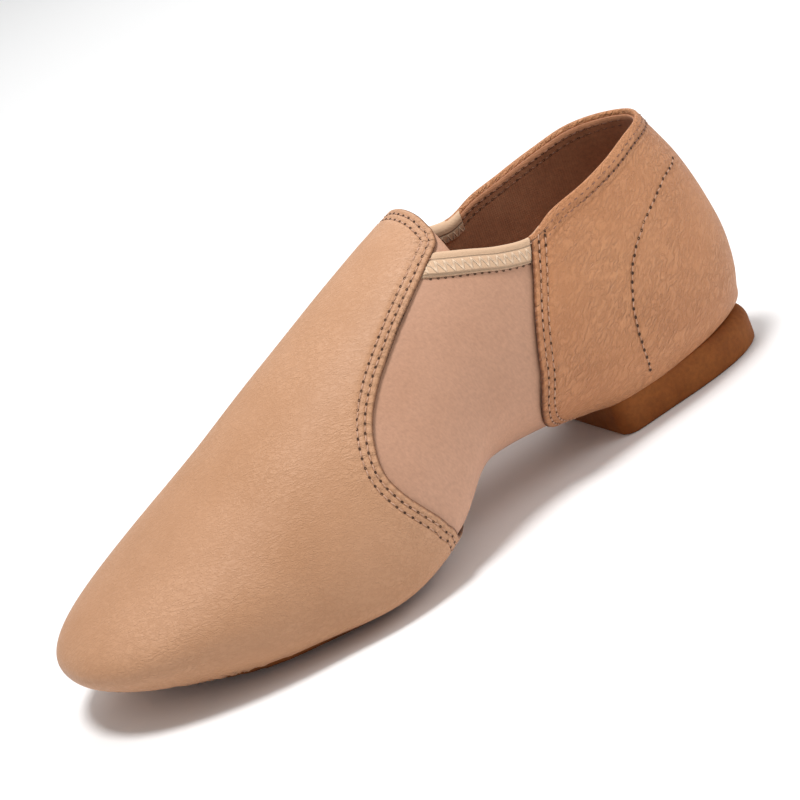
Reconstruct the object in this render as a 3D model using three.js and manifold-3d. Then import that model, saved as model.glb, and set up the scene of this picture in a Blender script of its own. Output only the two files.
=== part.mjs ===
// A left jazz shoe: a lined stretch body with a leather vamp and quarter lapped over it,
// an elastic binding, and a split rubber sole. Millimetres, +X to the toe, +Y to the
// outer side of the foot, +Z up.
import * as THREE from 'three';
import { mergeVertices } from 'three/addons/utils/BufferGeometryUtils.js';
import Module from 'manifold-3d';

const wasm = await Module();
wasm.setup();

// Rows of a table as objects, one value under each column's name.
function table(columns, rows) {
  return rows.map((row) => Object.fromEntries(columns.map((name, i) => [name, row[i]])));
}

// Main sizes
const LENGTH = 245;
const BALL_WIDTH = 91.4;
const INSTEP_HEIGHT = 93;
const BACK_HEIGHT = 85.5;
const HEEL_LIFT = 9.6;
const TOE_SPRING = 5.4;
const HEEL_ROUND = 46.3;
const TOE_ROUND = 55.3;
const BACK_CURVE = 10;
const BACK_CURVE_REACH = 80;

// Thicknesses and clearances
const LEATHER = 1.0;
const BODY_WALL = 1.2;
const GAP = 0.3;
const SOLE_THICKNESS = 1.6;
const SOLE_FLAT_DEPTH = 0.8;
const INSOLE_THICKNESS = 1.5;
const BINDING_THICKNESS = 0.9;
const BINDING_HEIGHT = 6.8;
const TAB_OVERHANG = 0.8;
const TAB_CORNER = 96.5;

// Rubber forefoot sole
const SOLE_LENGTH = 97;
const SOLE_TOE_MARGIN = 19;
const SOLE_FRONT = LENGTH - SOLE_TOE_MARGIN;
const SOLE_BACK = SOLE_FRONT - SOLE_LENGTH;
const SOLE_MARGIN = 8.5;
const SOLE_BACK_ROUND = 22;
const SOLE_FRONT_ROUND = 42;
const SOLE_BACK_POWER = 2.6;
const SOLE_FRONT_POWER = 2.1;

// Rubber heel
const HEEL_WIDTH = 46;
const HEEL_BACK_WIDTH = 40;
const HEEL_LENGTH = 64;
const HEEL_BACK_ROUND = 38;
const HEEL_BACK_POWER = 2.2;
const HEEL_CORNER = 5;
const HEEL_TOP = 12;
const HEEL_PROUD = 0.6;

// Sock inside the shoe: its distance from the ends and the degrees it reaches to each side
const INSOLE_MARGIN = 3.5;
const INSOLE_TURN = 45;

// Openings in the underside that the sole and the heel close
const SEAT_LAP = 7;

// Sections of the last along its length. at: share of LENGTH. axis, lateral, medial: shares
// of BALL_WIDTH for the centre's sideways place and the two half widths. lift, spring: shares
// of HEEL_LIFT and TOE_SPRING in the height of the underside. top: share of INSTEP_HEIGHT.
// waist: height of the widest place between underside and top. low, high: how square the
// lower and upper quarters of the section are. cells: how many steps a surface takes from
// this row to the next, outside the round ends.
const SECTIONS = table([
  'at', 'axis', 'lateral', 'medial', 'lift', 'spring', 'top', 'waist', 'low', 'high', 'cells',
], [
  [0.00, 0.055, 0.328, 0.305, 1.31, 0, 1.602, 0.138, 3.4, 2.0, 0],
  [0.12, 0.025, 0.306, 0.291, 1.00, 0, 1.495, 0.159, 3.3, 2.0, 2],
  [0.24, 0.019, 0.324, 0.302, 0.83, 0, 1.261, 0.229, 3.0, 2.1, 3],
  [0.34, 0.015, 0.359, 0.335, 1.36, 0, 1.054, 0.318, 2.7, 2.1, 3],
  [0.44, 0.003, 0.393, 0.368, 1.58, 0, 0.946, 0.332, 2.5, 2.1, 5],
  [0.54, 0.003, 0.482, 0.414, 0.39, 0, 0.844, 0.239, 2.8, 2.1, 4],
  [0.66, -0.013, 0.535, 0.465, 0, 0, 0.701, 0.145, 3.4, 2.1, 3],
  [0.78, -0.047, 0.503, 0.462, 0, 0, 0.538, 0.300, 3.2, 2.1, 0],
  [0.90, -0.080, 0.462, 0.442, 0, 0.39, 0.391, 0.500, 2.5, 2.1, 0],
  [1.00, -0.088, 0.430, 0.416, 0, 1, 0.324, 0.53, 2.06, 2.1, 0],
]);
const HEEL_POWER = 1.77;
const TOE_POWER = 2.27;
const TOE_CLOSE_POWER = 3;
const TOE_CLOSE_ROOT = 2.2;

// Profile of the back of the heel. height: share of BACK_HEIGHT, inset: share of BACK_CURVE.
const BACK = table(['height', 'inset'], [
  [0.116, 0.81],
  [0.163, 0.13],
  [0.221, 0],
  [0.302, -0.17],
  [0.419, -0.25],
  [0.581, -0.07],
  [0.767, 0.34],
  [1.0, 1.18],
  [1.28, 1.78],
]);

// Top line in the side view, from the back to the throat tab. at: share of LENGTH,
// height: share of BACK_HEIGHT.
const TOP_LINE = table(['at', 'height'], [
  [-0.08, 1.0],
  [0.025, 1.0],
  [0.070, 0.994],
  [0.130, 0.963],
  [0.190, 0.936],
  [0.245, 0.915],
  [0.288, 0.879],
  [0.331, 0.906],
  [0.367, 0.946],
  [0.400, 0.980],
  [0.450, 1.035],
]);

// Edges of the leather around the section. angle: degrees, -90 underneath, 0 at the widest
// place, 90 on top. at: share of LENGTH.
const VAMP_EDGE = table(['angle', 'at'], [
  [-90, 0.478],
  [-70, 0.494],
  [-50, 0.520],
  [-27, 0.550],
  [1, 0.566],
  [10, 0.583],
  [18, 0.597],
  [27, 0.605],
  [35, 0.597],
  [39, 0.587],
  [44, 0.562],
  [47, 0.534],
  [49, 0.499],
  [50.5, 0.466],
  [52.5, 0.437],
  [55, 0.415],
  [58, 0.392],
  [62, 0.384],
  [70, 0.381],
  [90, 0.380],
]);
const QUARTER_EDGE = table(['angle', 'at'], [
  [-90, 0.294],
  [-75, 0.312],
  [-60, 0.344],
  [-41, 0.366],
  [-24, 0.371],
  [-10, 0.365],
  [2, 0.352],
  [14, 0.331],
  [25, 0.304],
  [33, 0.284],
  [45, 0.276],
  [90, 0.276],
]);

// How finely the surfaces are divided
const AROUND = 32;
const HEEL_CELLS = 7;
const TOE_CELLS = 8;
const EDGE_STEP = 10;
const LINE_CELLS = 20;
const OUTLINE_CELLS = 12;
const CORNER_CELLS = 4;
const CUT_REACH = 2;

// Smooth curve through a table's rows, level at its peaks and dips.
function curve(rows, key, value, at) {
  const last = rows.length - 1;
  const step = (i) => rows[i + 1][key] - rows[i][key];
  const rise = (i) => (rows[i + 1][value] - rows[i][value]) / step(i);
  function slope(i) {
    if (i === 0) return rise(0);
    if (i === last) return rise(last - 1);
    if (rise(i - 1) * rise(i) <= 0) return 0;
    return (rise(i - 1) * step(i) + rise(i) * step(i - 1)) / (step(i - 1) + step(i));
  }
  let i = 0;
  while (i < last - 1 && at > rows[i + 1][key]) i += 1;
  const h = step(i);
  const t = (at - rows[i][key]) / h;
  const t2 = t * t;
  const t3 = t2 * t;
  return (2 * t3 - 3 * t2 + 1) * rows[i][value] + (t3 - 2 * t2 + t) * h * slope(i)
    + (3 * t2 - 2 * t3) * rows[i + 1][value] + (t3 - t2) * h * slope(i + 1);
}

// Share of a full width at x in an outline with round ends.
function roundEnds(x, back, front, backRound, frontRound, backPower, frontPower) {
  const a = THREE.MathUtils.clamp((back + backRound - x) / backRound, 0, 1);
  const b = THREE.MathUtils.clamp((x - front + frontRound) / frontRound, 0, 1);
  const backShare = (1 - a ** backPower) ** (1 / backPower);
  const frontShare = (1 - b ** frontPower) ** (1 / frontPower);
  return Math.min(backShare, frontShare);
}

// The section of the last at x, grown by d all round.
function section(x, d = 0) {
  const at = x / LENGTH;
  const share = roundEnds(x, 0, LENGTH, HEEL_ROUND, TOE_ROUND, HEEL_POWER, TOE_POWER);
  const toe = THREE.MathUtils.clamp((x - LENGTH + TOE_ROUND) / TOE_ROUND, 0, 1);
  const close = (1 - toe ** TOE_CLOSE_POWER) ** (1 / TOE_CLOSE_ROOT);
  const floor = SOLE_THICKNESS + GAP;
  const lift = curve(SECTIONS, 'at', 'lift', at) * (HEEL_LIFT - floor);
  const base = floor + lift + curve(SECTIONS, 'at', 'spring', at) * TOE_SPRING;
  const top = curve(SECTIONS, 'at', 'top', at) * INSTEP_HEIGHT;
  const waist = base + curve(SECTIONS, 'at', 'waist', at) * (top - base);
  return {
    axis: curve(SECTIONS, 'at', 'axis', at) * BALL_WIDTH,
    lateral: (curve(SECTIONS, 'at', 'lateral', at) * BALL_WIDTH + d) * share,
    medial: (curve(SECTIONS, 'at', 'medial', at) * BALL_WIDTH + d) * share,
    above: (top + d - waist) * close,
    below: (waist - base + d) * close,
    waist,
    low: curve(SECTIONS, 'at', 'low', at),
    high: curve(SECTIONS, 'at', 'high', at),
  };
}

// How far the back of the heel lies in from its plumb line at height z.
function backInset(x, z) {
  const height = THREE.MathUtils.clamp(z / BACK_HEIGHT, BACK[0].height, BACK[BACK.length - 1].height);
  const fade = THREE.MathUtils.clamp(1 - x / BACK_CURVE_REACH, 0, 1) ** 2;
  return curve(BACK, 'height', 'inset', height) * BACK_CURVE * fade;
}

// A point of the last's surface, grown by d: x from the heel, degrees around the section.
// 0 is the outer side, 90 the top, 180 the inner side, 270 underneath.
function lastPoint(x, degrees, d = 0) {
  const s = section(x, d);
  const angle = THREE.MathUtils.degToRad(degrees);
  const across = Math.cos(angle);
  const up = Math.sin(angle);
  const power = 2 / (up >= 0 ? s.high : s.low);
  const width = across >= 0 ? s.lateral : s.medial;
  const height = up >= 0 ? s.above : s.below;
  const y = s.axis + Math.sign(across) * Math.abs(across) ** power * width;
  const z = s.waist + Math.sign(up) * Math.abs(up) ** power * height;
  const stretched = -d + x * (LENGTH + 2 * d) / LENGTH;
  return new THREE.Vector3(stretched + backInset(x, z), y, z);
}

// Angle around the section, on the side's upper quarter, of a point at height z.
function angleAt(x, z) {
  const s = section(x);
  const up = THREE.MathUtils.clamp((z - s.waist) / s.above, 0, 1) ** (s.high / 2);
  return THREE.MathUtils.radToDeg(Math.asin(up));
}

// The leather's edge at an angle around the section, the same on both sides.
function edgeAt(edge, degrees) {
  const up = THREE.MathUtils.radToDeg(Math.asin(Math.sin(THREE.MathUtils.degToRad(degrees))));
  return curve(edge, 'angle', 'at', up) * LENGTH;
}

function topLine(x) {
  return curve(TOP_LINE, 'at', 'height', x / LENGTH) * BACK_HEIGHT;
}

// Turns a closed geometry's faces outwards, if they point in.
function facingOut(geometry) {
  const p = geometry.attributes.position;
  const index = Array.from(geometry.index.array);
  const corner = (i) => new THREE.Vector3().fromBufferAttribute(p, index[i]);
  let volume = 0;
  for (let i = 0; i < index.length; i += 3) {
    volume += corner(i).dot(corner(i + 1).cross(corner(i + 2)));
  }
  if (volume < 0) index.reverse();
  geometry.setIndex(index);
  return geometry;
}

// Welds equal corners and drops the faces that shrink to nothing at a pole.
function welded(geometry) {
  const bare = geometry.clone();
  bare.deleteAttribute('normal');
  bare.deleteAttribute('uv');
  const whole = mergeVertices(bare, 1e-4);
  const index = whole.index.array;
  const kept = [];
  for (let i = 0; i < index.length; i += 3) {
    const [a, b, c] = [index[i], index[i + 1], index[i + 2]];
    if (a !== b && b !== c && c !== a) kept.push(a, b, c);
  }
  whole.setIndex(kept);
  return facingOut(whole);
}

function toSolid(geometry) {
  const body = welded(geometry);
  const vertProperties = new Float32Array(body.attributes.position.array);
  const triVerts = new Uint32Array(body.index.array);
  return new wasm.Manifold(new wasm.Mesh({ numProp: 3, vertProperties, triVerts }));
}

function toGeometry(solid) {
  const mesh = solid.getMesh();
  const geometry = new THREE.BufferGeometry();
  const corners = new Float32Array(mesh.vertProperties);
  geometry.setAttribute('position', new THREE.BufferAttribute(corners, 3));
  geometry.setIndex(Array.from(mesh.triVerts));
  geometry.computeVertexNormals();
  return geometry;
}

// Joins closed rings of equal length into one body. Its ends are poles or folded rings.
function ringBody(rings) {
  const count = rings[0].length;
  const geometry = new THREE.BufferGeometry().setFromPoints(rings.flat());
  const index = [];
  for (let i = 0; i < rings.length - 1; i += 1) {
    for (let j = 0; j < count; j += 1) {
      const a = i * count + j;
      const b = i * count + (j + 1) % count;
      index.push(a, b, a + count, b, b + count, a + count);
    }
  }
  geometry.setIndex(index);
  return geometry;
}

// Closes the first and last rings, each with a ring shrunk to its middle.
function capped(rings) {
  function middle(ring) {
    const sum = ring.reduce((total, p) => total.add(p), new THREE.Vector3());
    return ring.map(() => sum.clone().divideScalar(ring.length));
  }
  return [middle(rings[0]), ...rings, middle(rings[rings.length - 1])];
}

// A prism through the plan: the outline holds [x, y] points.
function planPrism(outline, low, high) {
  const shape = new THREE.Shape(outline.map(([x, y]) => new THREE.Vector2(x, y)));
  const prism = new THREE.ExtrudeGeometry(shape, { depth: high - low, bevelEnabled: false });
  return toSolid(prism.translate(0, 0, low));
}

// A prism through the side view: the outline holds [x, z] points.
function sidePrism(outline, halfWidth) {
  const shape = new THREE.Shape(outline.map(([x, z]) => new THREE.Vector2(x, z)));
  const prism = new THREE.ExtrudeGeometry(shape, { depth: 2 * halfWidth, bevelEnabled: false });
  return toSolid(prism.rotateX(Math.PI / 2).translate(0, halfWidth, 0));
}

// The lowest of a solid's separate pieces.
function lowest(solid) {
  const pieces = solid.decompose();
  return pieces.reduce((best, piece) => {
    return piece.boundingBox().min[2] < best.boundingBox().min[2] ? piece : best;
  });
}

// An even spread from low to high, both included.
function spread(low, high, cells) {
  return Array.from({ length: cells + 1 }, (_, i) => low + (high - low) * i / cells);
}

// Stations along the last, closer where its ends turn and where the arch bends.
function stations() {
  const heel = spread(0, 1, HEEL_CELLS).map((u) => HEEL_ROUND * (1 - Math.cos(Math.PI / 2 * u)));
  const toe = spread(0, 1, TOE_CELLS).map((u) => LENGTH - TOE_ROUND * (1 - Math.sin(Math.PI / 2 * u)));
  const waist = SECTIONS.slice(0, -1).flatMap(({ at, cells }, i) => {
    return cells ? spread(at, SECTIONS[i + 1].at, cells).slice(1).map((share) => share * LENGTH) : [];
  });
  return [...heel, ...waist.filter((x) => x > HEEL_ROUND + 1 && x < LENGTH - TOE_ROUND - 1), ...toe];
}

// The whole last, grown by d, as a closed body.
function lastBody(d) {
  const angles = spread(0, 360, AROUND).slice(0, -1);
  return toSolid(ringBody(stations().map((x) => angles.map((angle) => lastPoint(x, angle, d)))));
}

// A skin of the last between two growths.
function lastSkin(outside, inside) {
  return lastBody(outside).subtract(lastBody(inside));
}

// All that lies between a leather edge and the toe or the back of the heel, with the edge
// moved outwards by a margin.
function leatherReach(edge, end, margin = 0) {
  const half = edge.slice(0, -1).flatMap(({ angle }, i) => {
    const next = edge[i + 1].angle;
    return spread(angle, next, Math.ceil((next - angle) / EDGE_STEP)).slice(0, -1);
  });
  const angles = [...half, 90, ...half.slice(1).reverse().map((angle) => 180 - angle)];
  function ring(u, d) {
    return angles.map((angle) => {
      const open = edgeAt(edge, angle) + (end > 0 ? -margin : margin);
      return lastPoint(open + (end - open) * u, angle, d);
    });
  }
  const shares = spread(0, 1, OUTLINE_CELLS).map((u) => Math.sin(Math.PI / 2 * u));
  const outside = shares.map((u) => ring(u, CUT_REACH)).reverse();
  const inside = shares.map((u) => ring(u, -LEATHER - CUT_REACH));
  return toSolid(ringBody([...outside, ...inside]));
}

function leatherSkin(edge, end) {
  return lastSkin(0, -LEATHER).intersect(leatherReach(edge, end));
}

// Everything above the top line and behind the throat tab.
function collarCutter() {
  const tab = edgeAt(VAMP_EDGE, 90) + TAB_OVERHANG;
  const behind = TOP_LINE[0].at * LENGTH;
  const line = spread(behind, TAB_CORNER, LINE_CELLS).map((x) => [x, topLine(x)]);
  const clear = 2 * INSTEP_HEIGHT;
  const corner = [tab, topLine(TAB_CORNER) + LEATHER];
  return sidePrism([...line, corner, [tab, clear], [behind, clear]], BALL_WIDTH);
}

// Plan of the forefoot sole: half width on the side of v at x, less a lap.
function soleHalf(x, v, lap = 0) {
  const { lateral, medial } = section(x);
  const full = (v >= 0 ? lateral : medial) - SOLE_MARGIN - lap;
  const back = SOLE_BACK + lap;
  const front = SOLE_FRONT - lap;
  return full * roundEnds(x, back, front, SOLE_BACK_ROUND, SOLE_FRONT_ROUND,
    SOLE_BACK_POWER, SOLE_FRONT_POWER);
}

// Plan of the heel: half width at x, less a lap.
function heelHalf(x, lap = 0) {
  const width = THREE.MathUtils.lerp(HEEL_BACK_WIDTH, HEEL_WIDTH, x / HEEL_LENGTH);
  const a = THREE.MathUtils.clamp((HEEL_BACK_ROUND + lap - HEEL_PROUD - x) / HEEL_BACK_ROUND, 0, 1);
  const b = THREE.MathUtils.clamp((x - HEEL_LENGTH + lap + HEEL_CORNER) / HEEL_CORNER, 0, 1);
  const corner = HEEL_CORNER * (1 - Math.sqrt(1 - b * b));
  return (width / 2 - lap) * (1 - a ** HEEL_BACK_POWER) ** (1 / HEEL_BACK_POWER) - corner;
}

// A closed plan outline from a half width on each side of the last's axis.
function planOutline(xs, half) {
  const axis = (x) => section(THREE.MathUtils.clamp(x, 0, LENGTH)).axis;
  const inner = xs.map((x) => [x, axis(x) - half(x, -1)]);
  const outer = xs.map((x) => [x, axis(x) + half(x, 1)]).reverse();
  const first = half(xs[0], 1) < 1e-6 ? outer.slice(0, -1) : outer;
  const last = half(xs[xs.length - 1], 1) < 1e-6 ? first.slice(1) : first;
  return [...inner, ...last];
}

function soleStations(lap = 0) {
  const middle = (SOLE_BACK + SOLE_FRONT) / 2;
  const half = (SOLE_FRONT - SOLE_BACK) / 2 - lap;
  return spread(-1, 1, OUTLINE_CELLS).map((u) => middle + half * Math.sin(Math.PI / 2 * u));
}

function heelStations(lap = 0) {
  const back = lap - HEEL_PROUD;
  const reach = HEEL_LENGTH - lap - HEEL_CORNER - back;
  const turn = (u) => Math.PI / 2 * u;
  const sides = spread(0, 1, OUTLINE_CELLS).map((u) => back + reach * (1 - Math.cos(turn(u))));
  const corners = spread(0, 1, CORNER_CELLS).slice(1);
  return [...sides, ...corners.map((u) => back + reach + HEEL_CORNER * Math.sin(turn(u)))];
}

// The holes under the forefoot and the heel, inside the rubber that closes them
function seatCutters() {
  const forefoot = planOutline(soleStations(SEAT_LAP), (x, v) => soleHalf(x, v, SEAT_LAP));
  const seat = planOutline(heelStations(SEAT_LAP), (x) => heelHalf(x, SEAT_LAP));
  const high = HEEL_LIFT + BODY_WALL + LEATHER + SEAT_LAP;
  return [planPrism(forefoot, -GAP, high), planPrism(seat, -GAP, high)];
}

// The lined stretch body
function upper() {
  const outside = -LEATHER - GAP;
  let body = lastSkin(outside, outside - BODY_WALL).subtract(collarCutter());
  seatCutters().forEach((cutter) => { body = body.subtract(cutter); });
  return toGeometry(body);
}

function vamp() {
  return toGeometry(leatherSkin(VAMP_EDGE, LENGTH).subtract(seatCutters()[0]));
}

function quarter() {
  const skin = leatherSkin(QUARTER_EDGE, 0).subtract(collarCutter());
  return toGeometry(skin.subtract(seatCutters()[1]));
}

// The ribbed elastic between quarter and vamp: side is 1 on the outer side, -1 inside.
function binding(side) {
  const back = edgeAt(QUARTER_EDGE, 90);
  const front = edgeAt(VAMP_EDGE, 90) + 2 * BINDING_HEIGHT;
  const line = spread(back, front, LINE_CELLS / 2);
  const above = line.map((x) => [x, topLine(x)]);
  const below = line.map((x) => [x, topLine(x) - BINDING_HEIGHT]).reverse();
  const band = lastSkin(BINDING_THICKNESS - LEATHER, -LEATHER)
    .intersect(sidePrism([...above, ...below], BALL_WIDTH))
    .subtract(leatherReach(VAMP_EDGE, LENGTH, GAP))
    .subtract(leatherReach(QUARTER_EDGE, 0, GAP));
  return toGeometry(band.decompose().find((piece) => piece.boundingBox().max[1] * side > 0));
}

// The rubber patch under the ball of the foot, flat where it stands
function forefootSole() {
  const thick = lastBody(GAP + SOLE_THICKNESS + SOLE_FLAT_DEPTH);
  const prism = planPrism(planOutline(soleStations(), soleHalf), 0, INSTEP_HEIGHT / 3);
  return toGeometry(lowest(thick.subtract(lastBody(GAP)).intersect(prism)));
}

// The rubber heel block, hollowed to the shape of the upper above it
function heel() {
  const outline = planOutline(heelStations(), heelHalf);
  return toGeometry(planPrism(outline, 0, HEEL_TOP).subtract(lastBody(GAP)));
}

// The thin sock inside, cupped a little at its edges
function insole() {
  const under = -LEATHER - GAP - BODY_WALL - GAP;
  const xs = stations().filter((x) => x > INSOLE_MARGIN && x < LENGTH - INSOLE_MARGIN);
  const turns = spread(-INSOLE_TURN, INSOLE_TURN, 2 * INSOLE_TURN * AROUND / 360);
  const rings = xs.map((x) => [
    ...turns.map((turn) => lastPoint(x, 270 + turn, under - INSOLE_THICKNESS)),
    ...turns.map((turn) => lastPoint(x, 270 + turn, under)).reverse(),
  ]);
  return welded(ringBody(capped(rings)));
}

// Colours and finishes
function material(color, roughness) {
  return new THREE.MeshStandardMaterial({ color, roughness, metalness: 0 });
}
const stretchCloth = material(0xd2a288, 0.6);
const leather = material(0xc4946c, 0.5);
const elastic = material(0xd9b07f, 0.75);
const rubber = material(0xa9692f, 0.6);
const sockLining = material(0xa98163, 0.85);

function named(name, geometry, finish) {
  const mesh = new THREE.Mesh(geometry, finish);
  mesh.name = name;
  return mesh;
}

// The shoe stands on the ground, its box centred over the origin.
const shoe = new THREE.Group();
shoe.add(named('upper', upper(), stretchCloth));
shoe.add(named('vamp', vamp(), leather));
shoe.add(named('quarter', quarter(), leather));
shoe.add(named('binding_lateral', binding(1), elastic));
shoe.add(named('binding_medial', binding(-1), elastic));
shoe.add(named('forefoot_sole', forefootSole(), rubber));
shoe.add(named('heel', heel(), rubber));
shoe.add(named('insole', insole(), sockLining));
const box = new THREE.Box3().setFromObject(shoe);
const centre = box.getCenter(new THREE.Vector3());
shoe.position.set(-centre.x, -centre.y, -box.min.z);

export default shoe;
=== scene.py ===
"""Looks of a left jazz shoe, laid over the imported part.

Sizes are in millimetres on the last, measured from the back of the heel: x to the toe,
y to the outer side, z up. Meshes are in metres in the part's frame.
"""

import math

import bpy
import numpy as np
from mathutils import Matrix, Vector
from mathutils.bvhtree import BVHTree
from mathutils.kdtree import KDTree


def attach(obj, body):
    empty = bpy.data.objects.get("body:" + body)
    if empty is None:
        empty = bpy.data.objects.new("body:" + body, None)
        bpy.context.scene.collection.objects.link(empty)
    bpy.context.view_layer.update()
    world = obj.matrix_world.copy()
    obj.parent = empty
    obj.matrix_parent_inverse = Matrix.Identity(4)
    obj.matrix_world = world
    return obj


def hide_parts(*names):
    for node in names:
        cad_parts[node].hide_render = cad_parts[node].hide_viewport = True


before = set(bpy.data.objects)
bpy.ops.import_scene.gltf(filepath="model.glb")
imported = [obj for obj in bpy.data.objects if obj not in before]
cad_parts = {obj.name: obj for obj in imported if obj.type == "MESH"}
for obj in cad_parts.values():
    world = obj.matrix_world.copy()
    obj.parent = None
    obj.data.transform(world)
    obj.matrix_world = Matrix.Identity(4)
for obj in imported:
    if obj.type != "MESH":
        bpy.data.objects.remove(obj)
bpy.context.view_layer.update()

# Where the frame's origin lies on the last
ORIGIN = np.array([121.336, 0.583, 0.0])

# Main sizes of the shoe
LENGTH = 245.0
BALL_WIDTH = 91.4
INSTEP_HEIGHT = 93.0
BACK_HEIGHT = 85.5
HEEL_LIFT = 9.6
TOE_SPRING = 5.4
HEEL_ROUND = 46.3
TOE_ROUND = 55.3
BACK_CURVE = 10.0
BACK_CURVE_REACH = 80.0
LEATHER = 1.0
BODY_WALL = 1.2
GAP = 0.3
LEATHER_SHEET = 0.85
BODY_SHEET = 0.6
LINING_SHEET = 0.55
ELASTIC_SHEET = 0.16
COLLAR_ROLL = 0.95
SOLE_THICKNESS = 1.6
SOLE_FLAT_DEPTH = 0.8
INSOLE_THICKNESS = 1.5
BINDING_HEIGHT = 6.8
BODY_BELOW_COLLAR = 1.6
LINING_BELOW_COLLAR = 1.0
SOLE_BACK = 129.0
SOLE_FRONT = 226.0
SOLE_MARGIN = 8.5
PATCH_INSET = 1.0
SOLE_BACK_ROUND = 22.0
SOLE_FRONT_ROUND = 42.0
SOLE_BACK_POWER = 2.6
SOLE_FRONT_POWER = 2.1
HEEL_WIDTH = 46.0
HEEL_BACK_WIDTH = 40.0
HEEL_LENGTH = 64.0
HEEL_BACK_ROUND = 38.0
HEEL_BACK_POWER = 2.2
HEEL_TOP = 12.0
HEEL_BACK_SET = 0.9
HEEL_CORNER = 5.0
HEEL_POWER = 1.77
TOE_POWER = 2.27
TOE_CLOSE_POWER = 3.0
TOE_CLOSE_ROOT = 2.2

# Sections of the last: at, axis, lateral, medial, lift, spring, top, waist, low, high
SECTIONS = np.array([
    [0.00, 0.055, 0.328, 0.305, 1.31, 0, 1.602, 0.138, 3.4, 2.0],
    [0.12, 0.025, 0.306, 0.291, 1.00, 0, 1.495, 0.159, 3.3, 2.0],
    [0.24, 0.019, 0.324, 0.302, 0.83, 0, 1.261, 0.229, 3.0, 2.1],
    [0.34, 0.015, 0.359, 0.335, 1.36, 0, 1.054, 0.318, 2.7, 2.1],
    [0.44, 0.003, 0.393, 0.368, 1.58, 0, 0.946, 0.332, 2.5, 2.1],
    [0.54, 0.003, 0.482, 0.414, 0.39, 0, 0.844, 0.239, 2.8, 2.1],
    [0.66, -0.013, 0.535, 0.465, 0, 0, 0.701, 0.145, 3.4, 2.1],
    [0.78, -0.047, 0.503, 0.462, 0, 0, 0.538, 0.300, 3.2, 2.1],
    [0.90, -0.080, 0.462, 0.442, 0, 0.39, 0.391, 0.500, 2.5, 2.1],
    [1.00, -0.088, 0.430, 0.416, 0, 1, 0.324, 0.53, 2.06, 2.1],
])
AT, AXIS, LATERAL, MEDIAL, LIFT, SPRING, TOP, WAIST, LOW, HIGH = range(10)

# Back of the heel: share of BACK_HEIGHT, share of BACK_CURVE
BACK = np.array([
    [0.116, 0.81], [0.163, 0.13], [0.221, 0], [0.302, -0.17], [0.419, -0.25],
    [0.581, -0.07], [0.767, 0.34], [1.0, 1.18], [1.28, 1.78],
])

# Top line: share of LENGTH, share of BACK_HEIGHT
TOP_LINE = np.array([
    [-0.08, 1.0], [0.025, 1.0], [0.070, 0.994], [0.130, 0.963], [0.190, 0.936],
    [0.245, 0.915], [0.288, 0.879], [0.331, 0.906], [0.367, 0.946], [0.400, 0.980],
    [0.450, 1.035],
])

# Leather edges: degrees around the section, share of LENGTH
VAMP_EDGE = np.array([
    [-90, 0.478], [-70, 0.494], [-50, 0.520], [-27, 0.550], [1, 0.566], [10, 0.583],
    [18, 0.597], [27, 0.605], [35, 0.597], [39, 0.587], [44, 0.562], [47, 0.534],
    [49, 0.499], [50.5, 0.466], [52.5, 0.437], [55, 0.415], [58, 0.392], [62, 0.384],
    [70, 0.381], [90, 0.380],
])
QUARTER_EDGE = np.array([
    [-90, 0.294], [-75, 0.312], [-60, 0.344], [-41, 0.366], [-24, 0.371], [-10, 0.365],
    [2, 0.352], [14, 0.331], [25, 0.304], [33, 0.284], [45, 0.276], [90, 0.276],
])

# Row of stitches that holds the heel's stiffener: x and z on the outer side
COUNTER_ROW = np.array([
    [10.5, 68.2], [12, 67.6], [18.7, 66.5], [24.8, 63.8], [32.8, 59.8], [39.2, 55.2],
    [43.7, 50.5], [46.6, 45.2], [49.3, 38.5], [50.7, 31.0], [51.2, 24.4], [50.6, 17.2],
])

# Stitches: their measures, and how far each row lies from its edge
PITCH = 2.9
STITCH_LENGTH = 1.95
THREAD = 0.46
STAGGER = 0.45
SEWN_IN = 0.16
FIRST_ROW = 2.3
SECOND_ROW = 4.5
COLLAR_ROWS = (2.4, 4.4)
INSIDE_ROWS = (2.6, 4.7)


def curve(rows, key, value, at):
    """Smooth curve through a table's rows, level at its peaks and dips."""
    at = np.asarray(at, float)
    x = rows[:, key]
    y = rows[:, value]
    step = np.diff(x)
    rise = np.diff(y) / step
    slope = np.zeros(len(x))
    slope[0] = rise[0]
    slope[-1] = rise[-1]
    inner = (rise[:-1] * step[1:] + rise[1:] * step[:-1]) / (step[:-1] + step[1:])
    slope[1:-1] = np.where(rise[:-1] * rise[1:] > 0, inner, 0)
    i = np.clip(np.searchsorted(x, at) - 1, 0, len(x) - 2)
    h = step[i]
    t = (at - x[i]) / h
    return (
        (2 * t**3 - 3 * t**2 + 1) * y[i]
        + (t**3 - 2 * t**2 + t) * h * slope[i]
        + (3 * t**2 - 2 * t**3) * y[i + 1]
        + (t**3 - t**2) * h * slope[i + 1]
    )


def step_up(value, low, high):
    """0 below low, 1 above high, smooth between."""
    t = np.clip((value - low) / (high - low), 0, 1)
    return t * t * (3 - 2 * t)


def hump(value, centre, width):
    """A soft ridge, 1 high at its centre."""
    return np.exp(-((value - centre) / width) ** 2)


def unit(vectors):
    """Vectors of length 1 in the same directions."""
    return vectors / np.linalg.norm(vectors, axis=-1, keepdims=True)


def run_length(points):
    """Length along a line at each of its points."""
    steps = np.linalg.norm(np.diff(points, axis=0), axis=1)
    return np.concatenate([[0], np.cumsum(steps)])


def round_ends(x, back, front, back_round, front_round, back_power, front_power):
    """Share of a full width at x in an outline with round ends."""
    a = np.clip((back + back_round - x) / back_round, 0, 1)
    b = np.clip((x - front + front_round) / front_round, 0, 1)
    back_share = (1 - a**back_power) ** (1 / back_power)
    front_share = (1 - b**front_power) ** (1 / front_power)
    return np.minimum(back_share, front_share)


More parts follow.
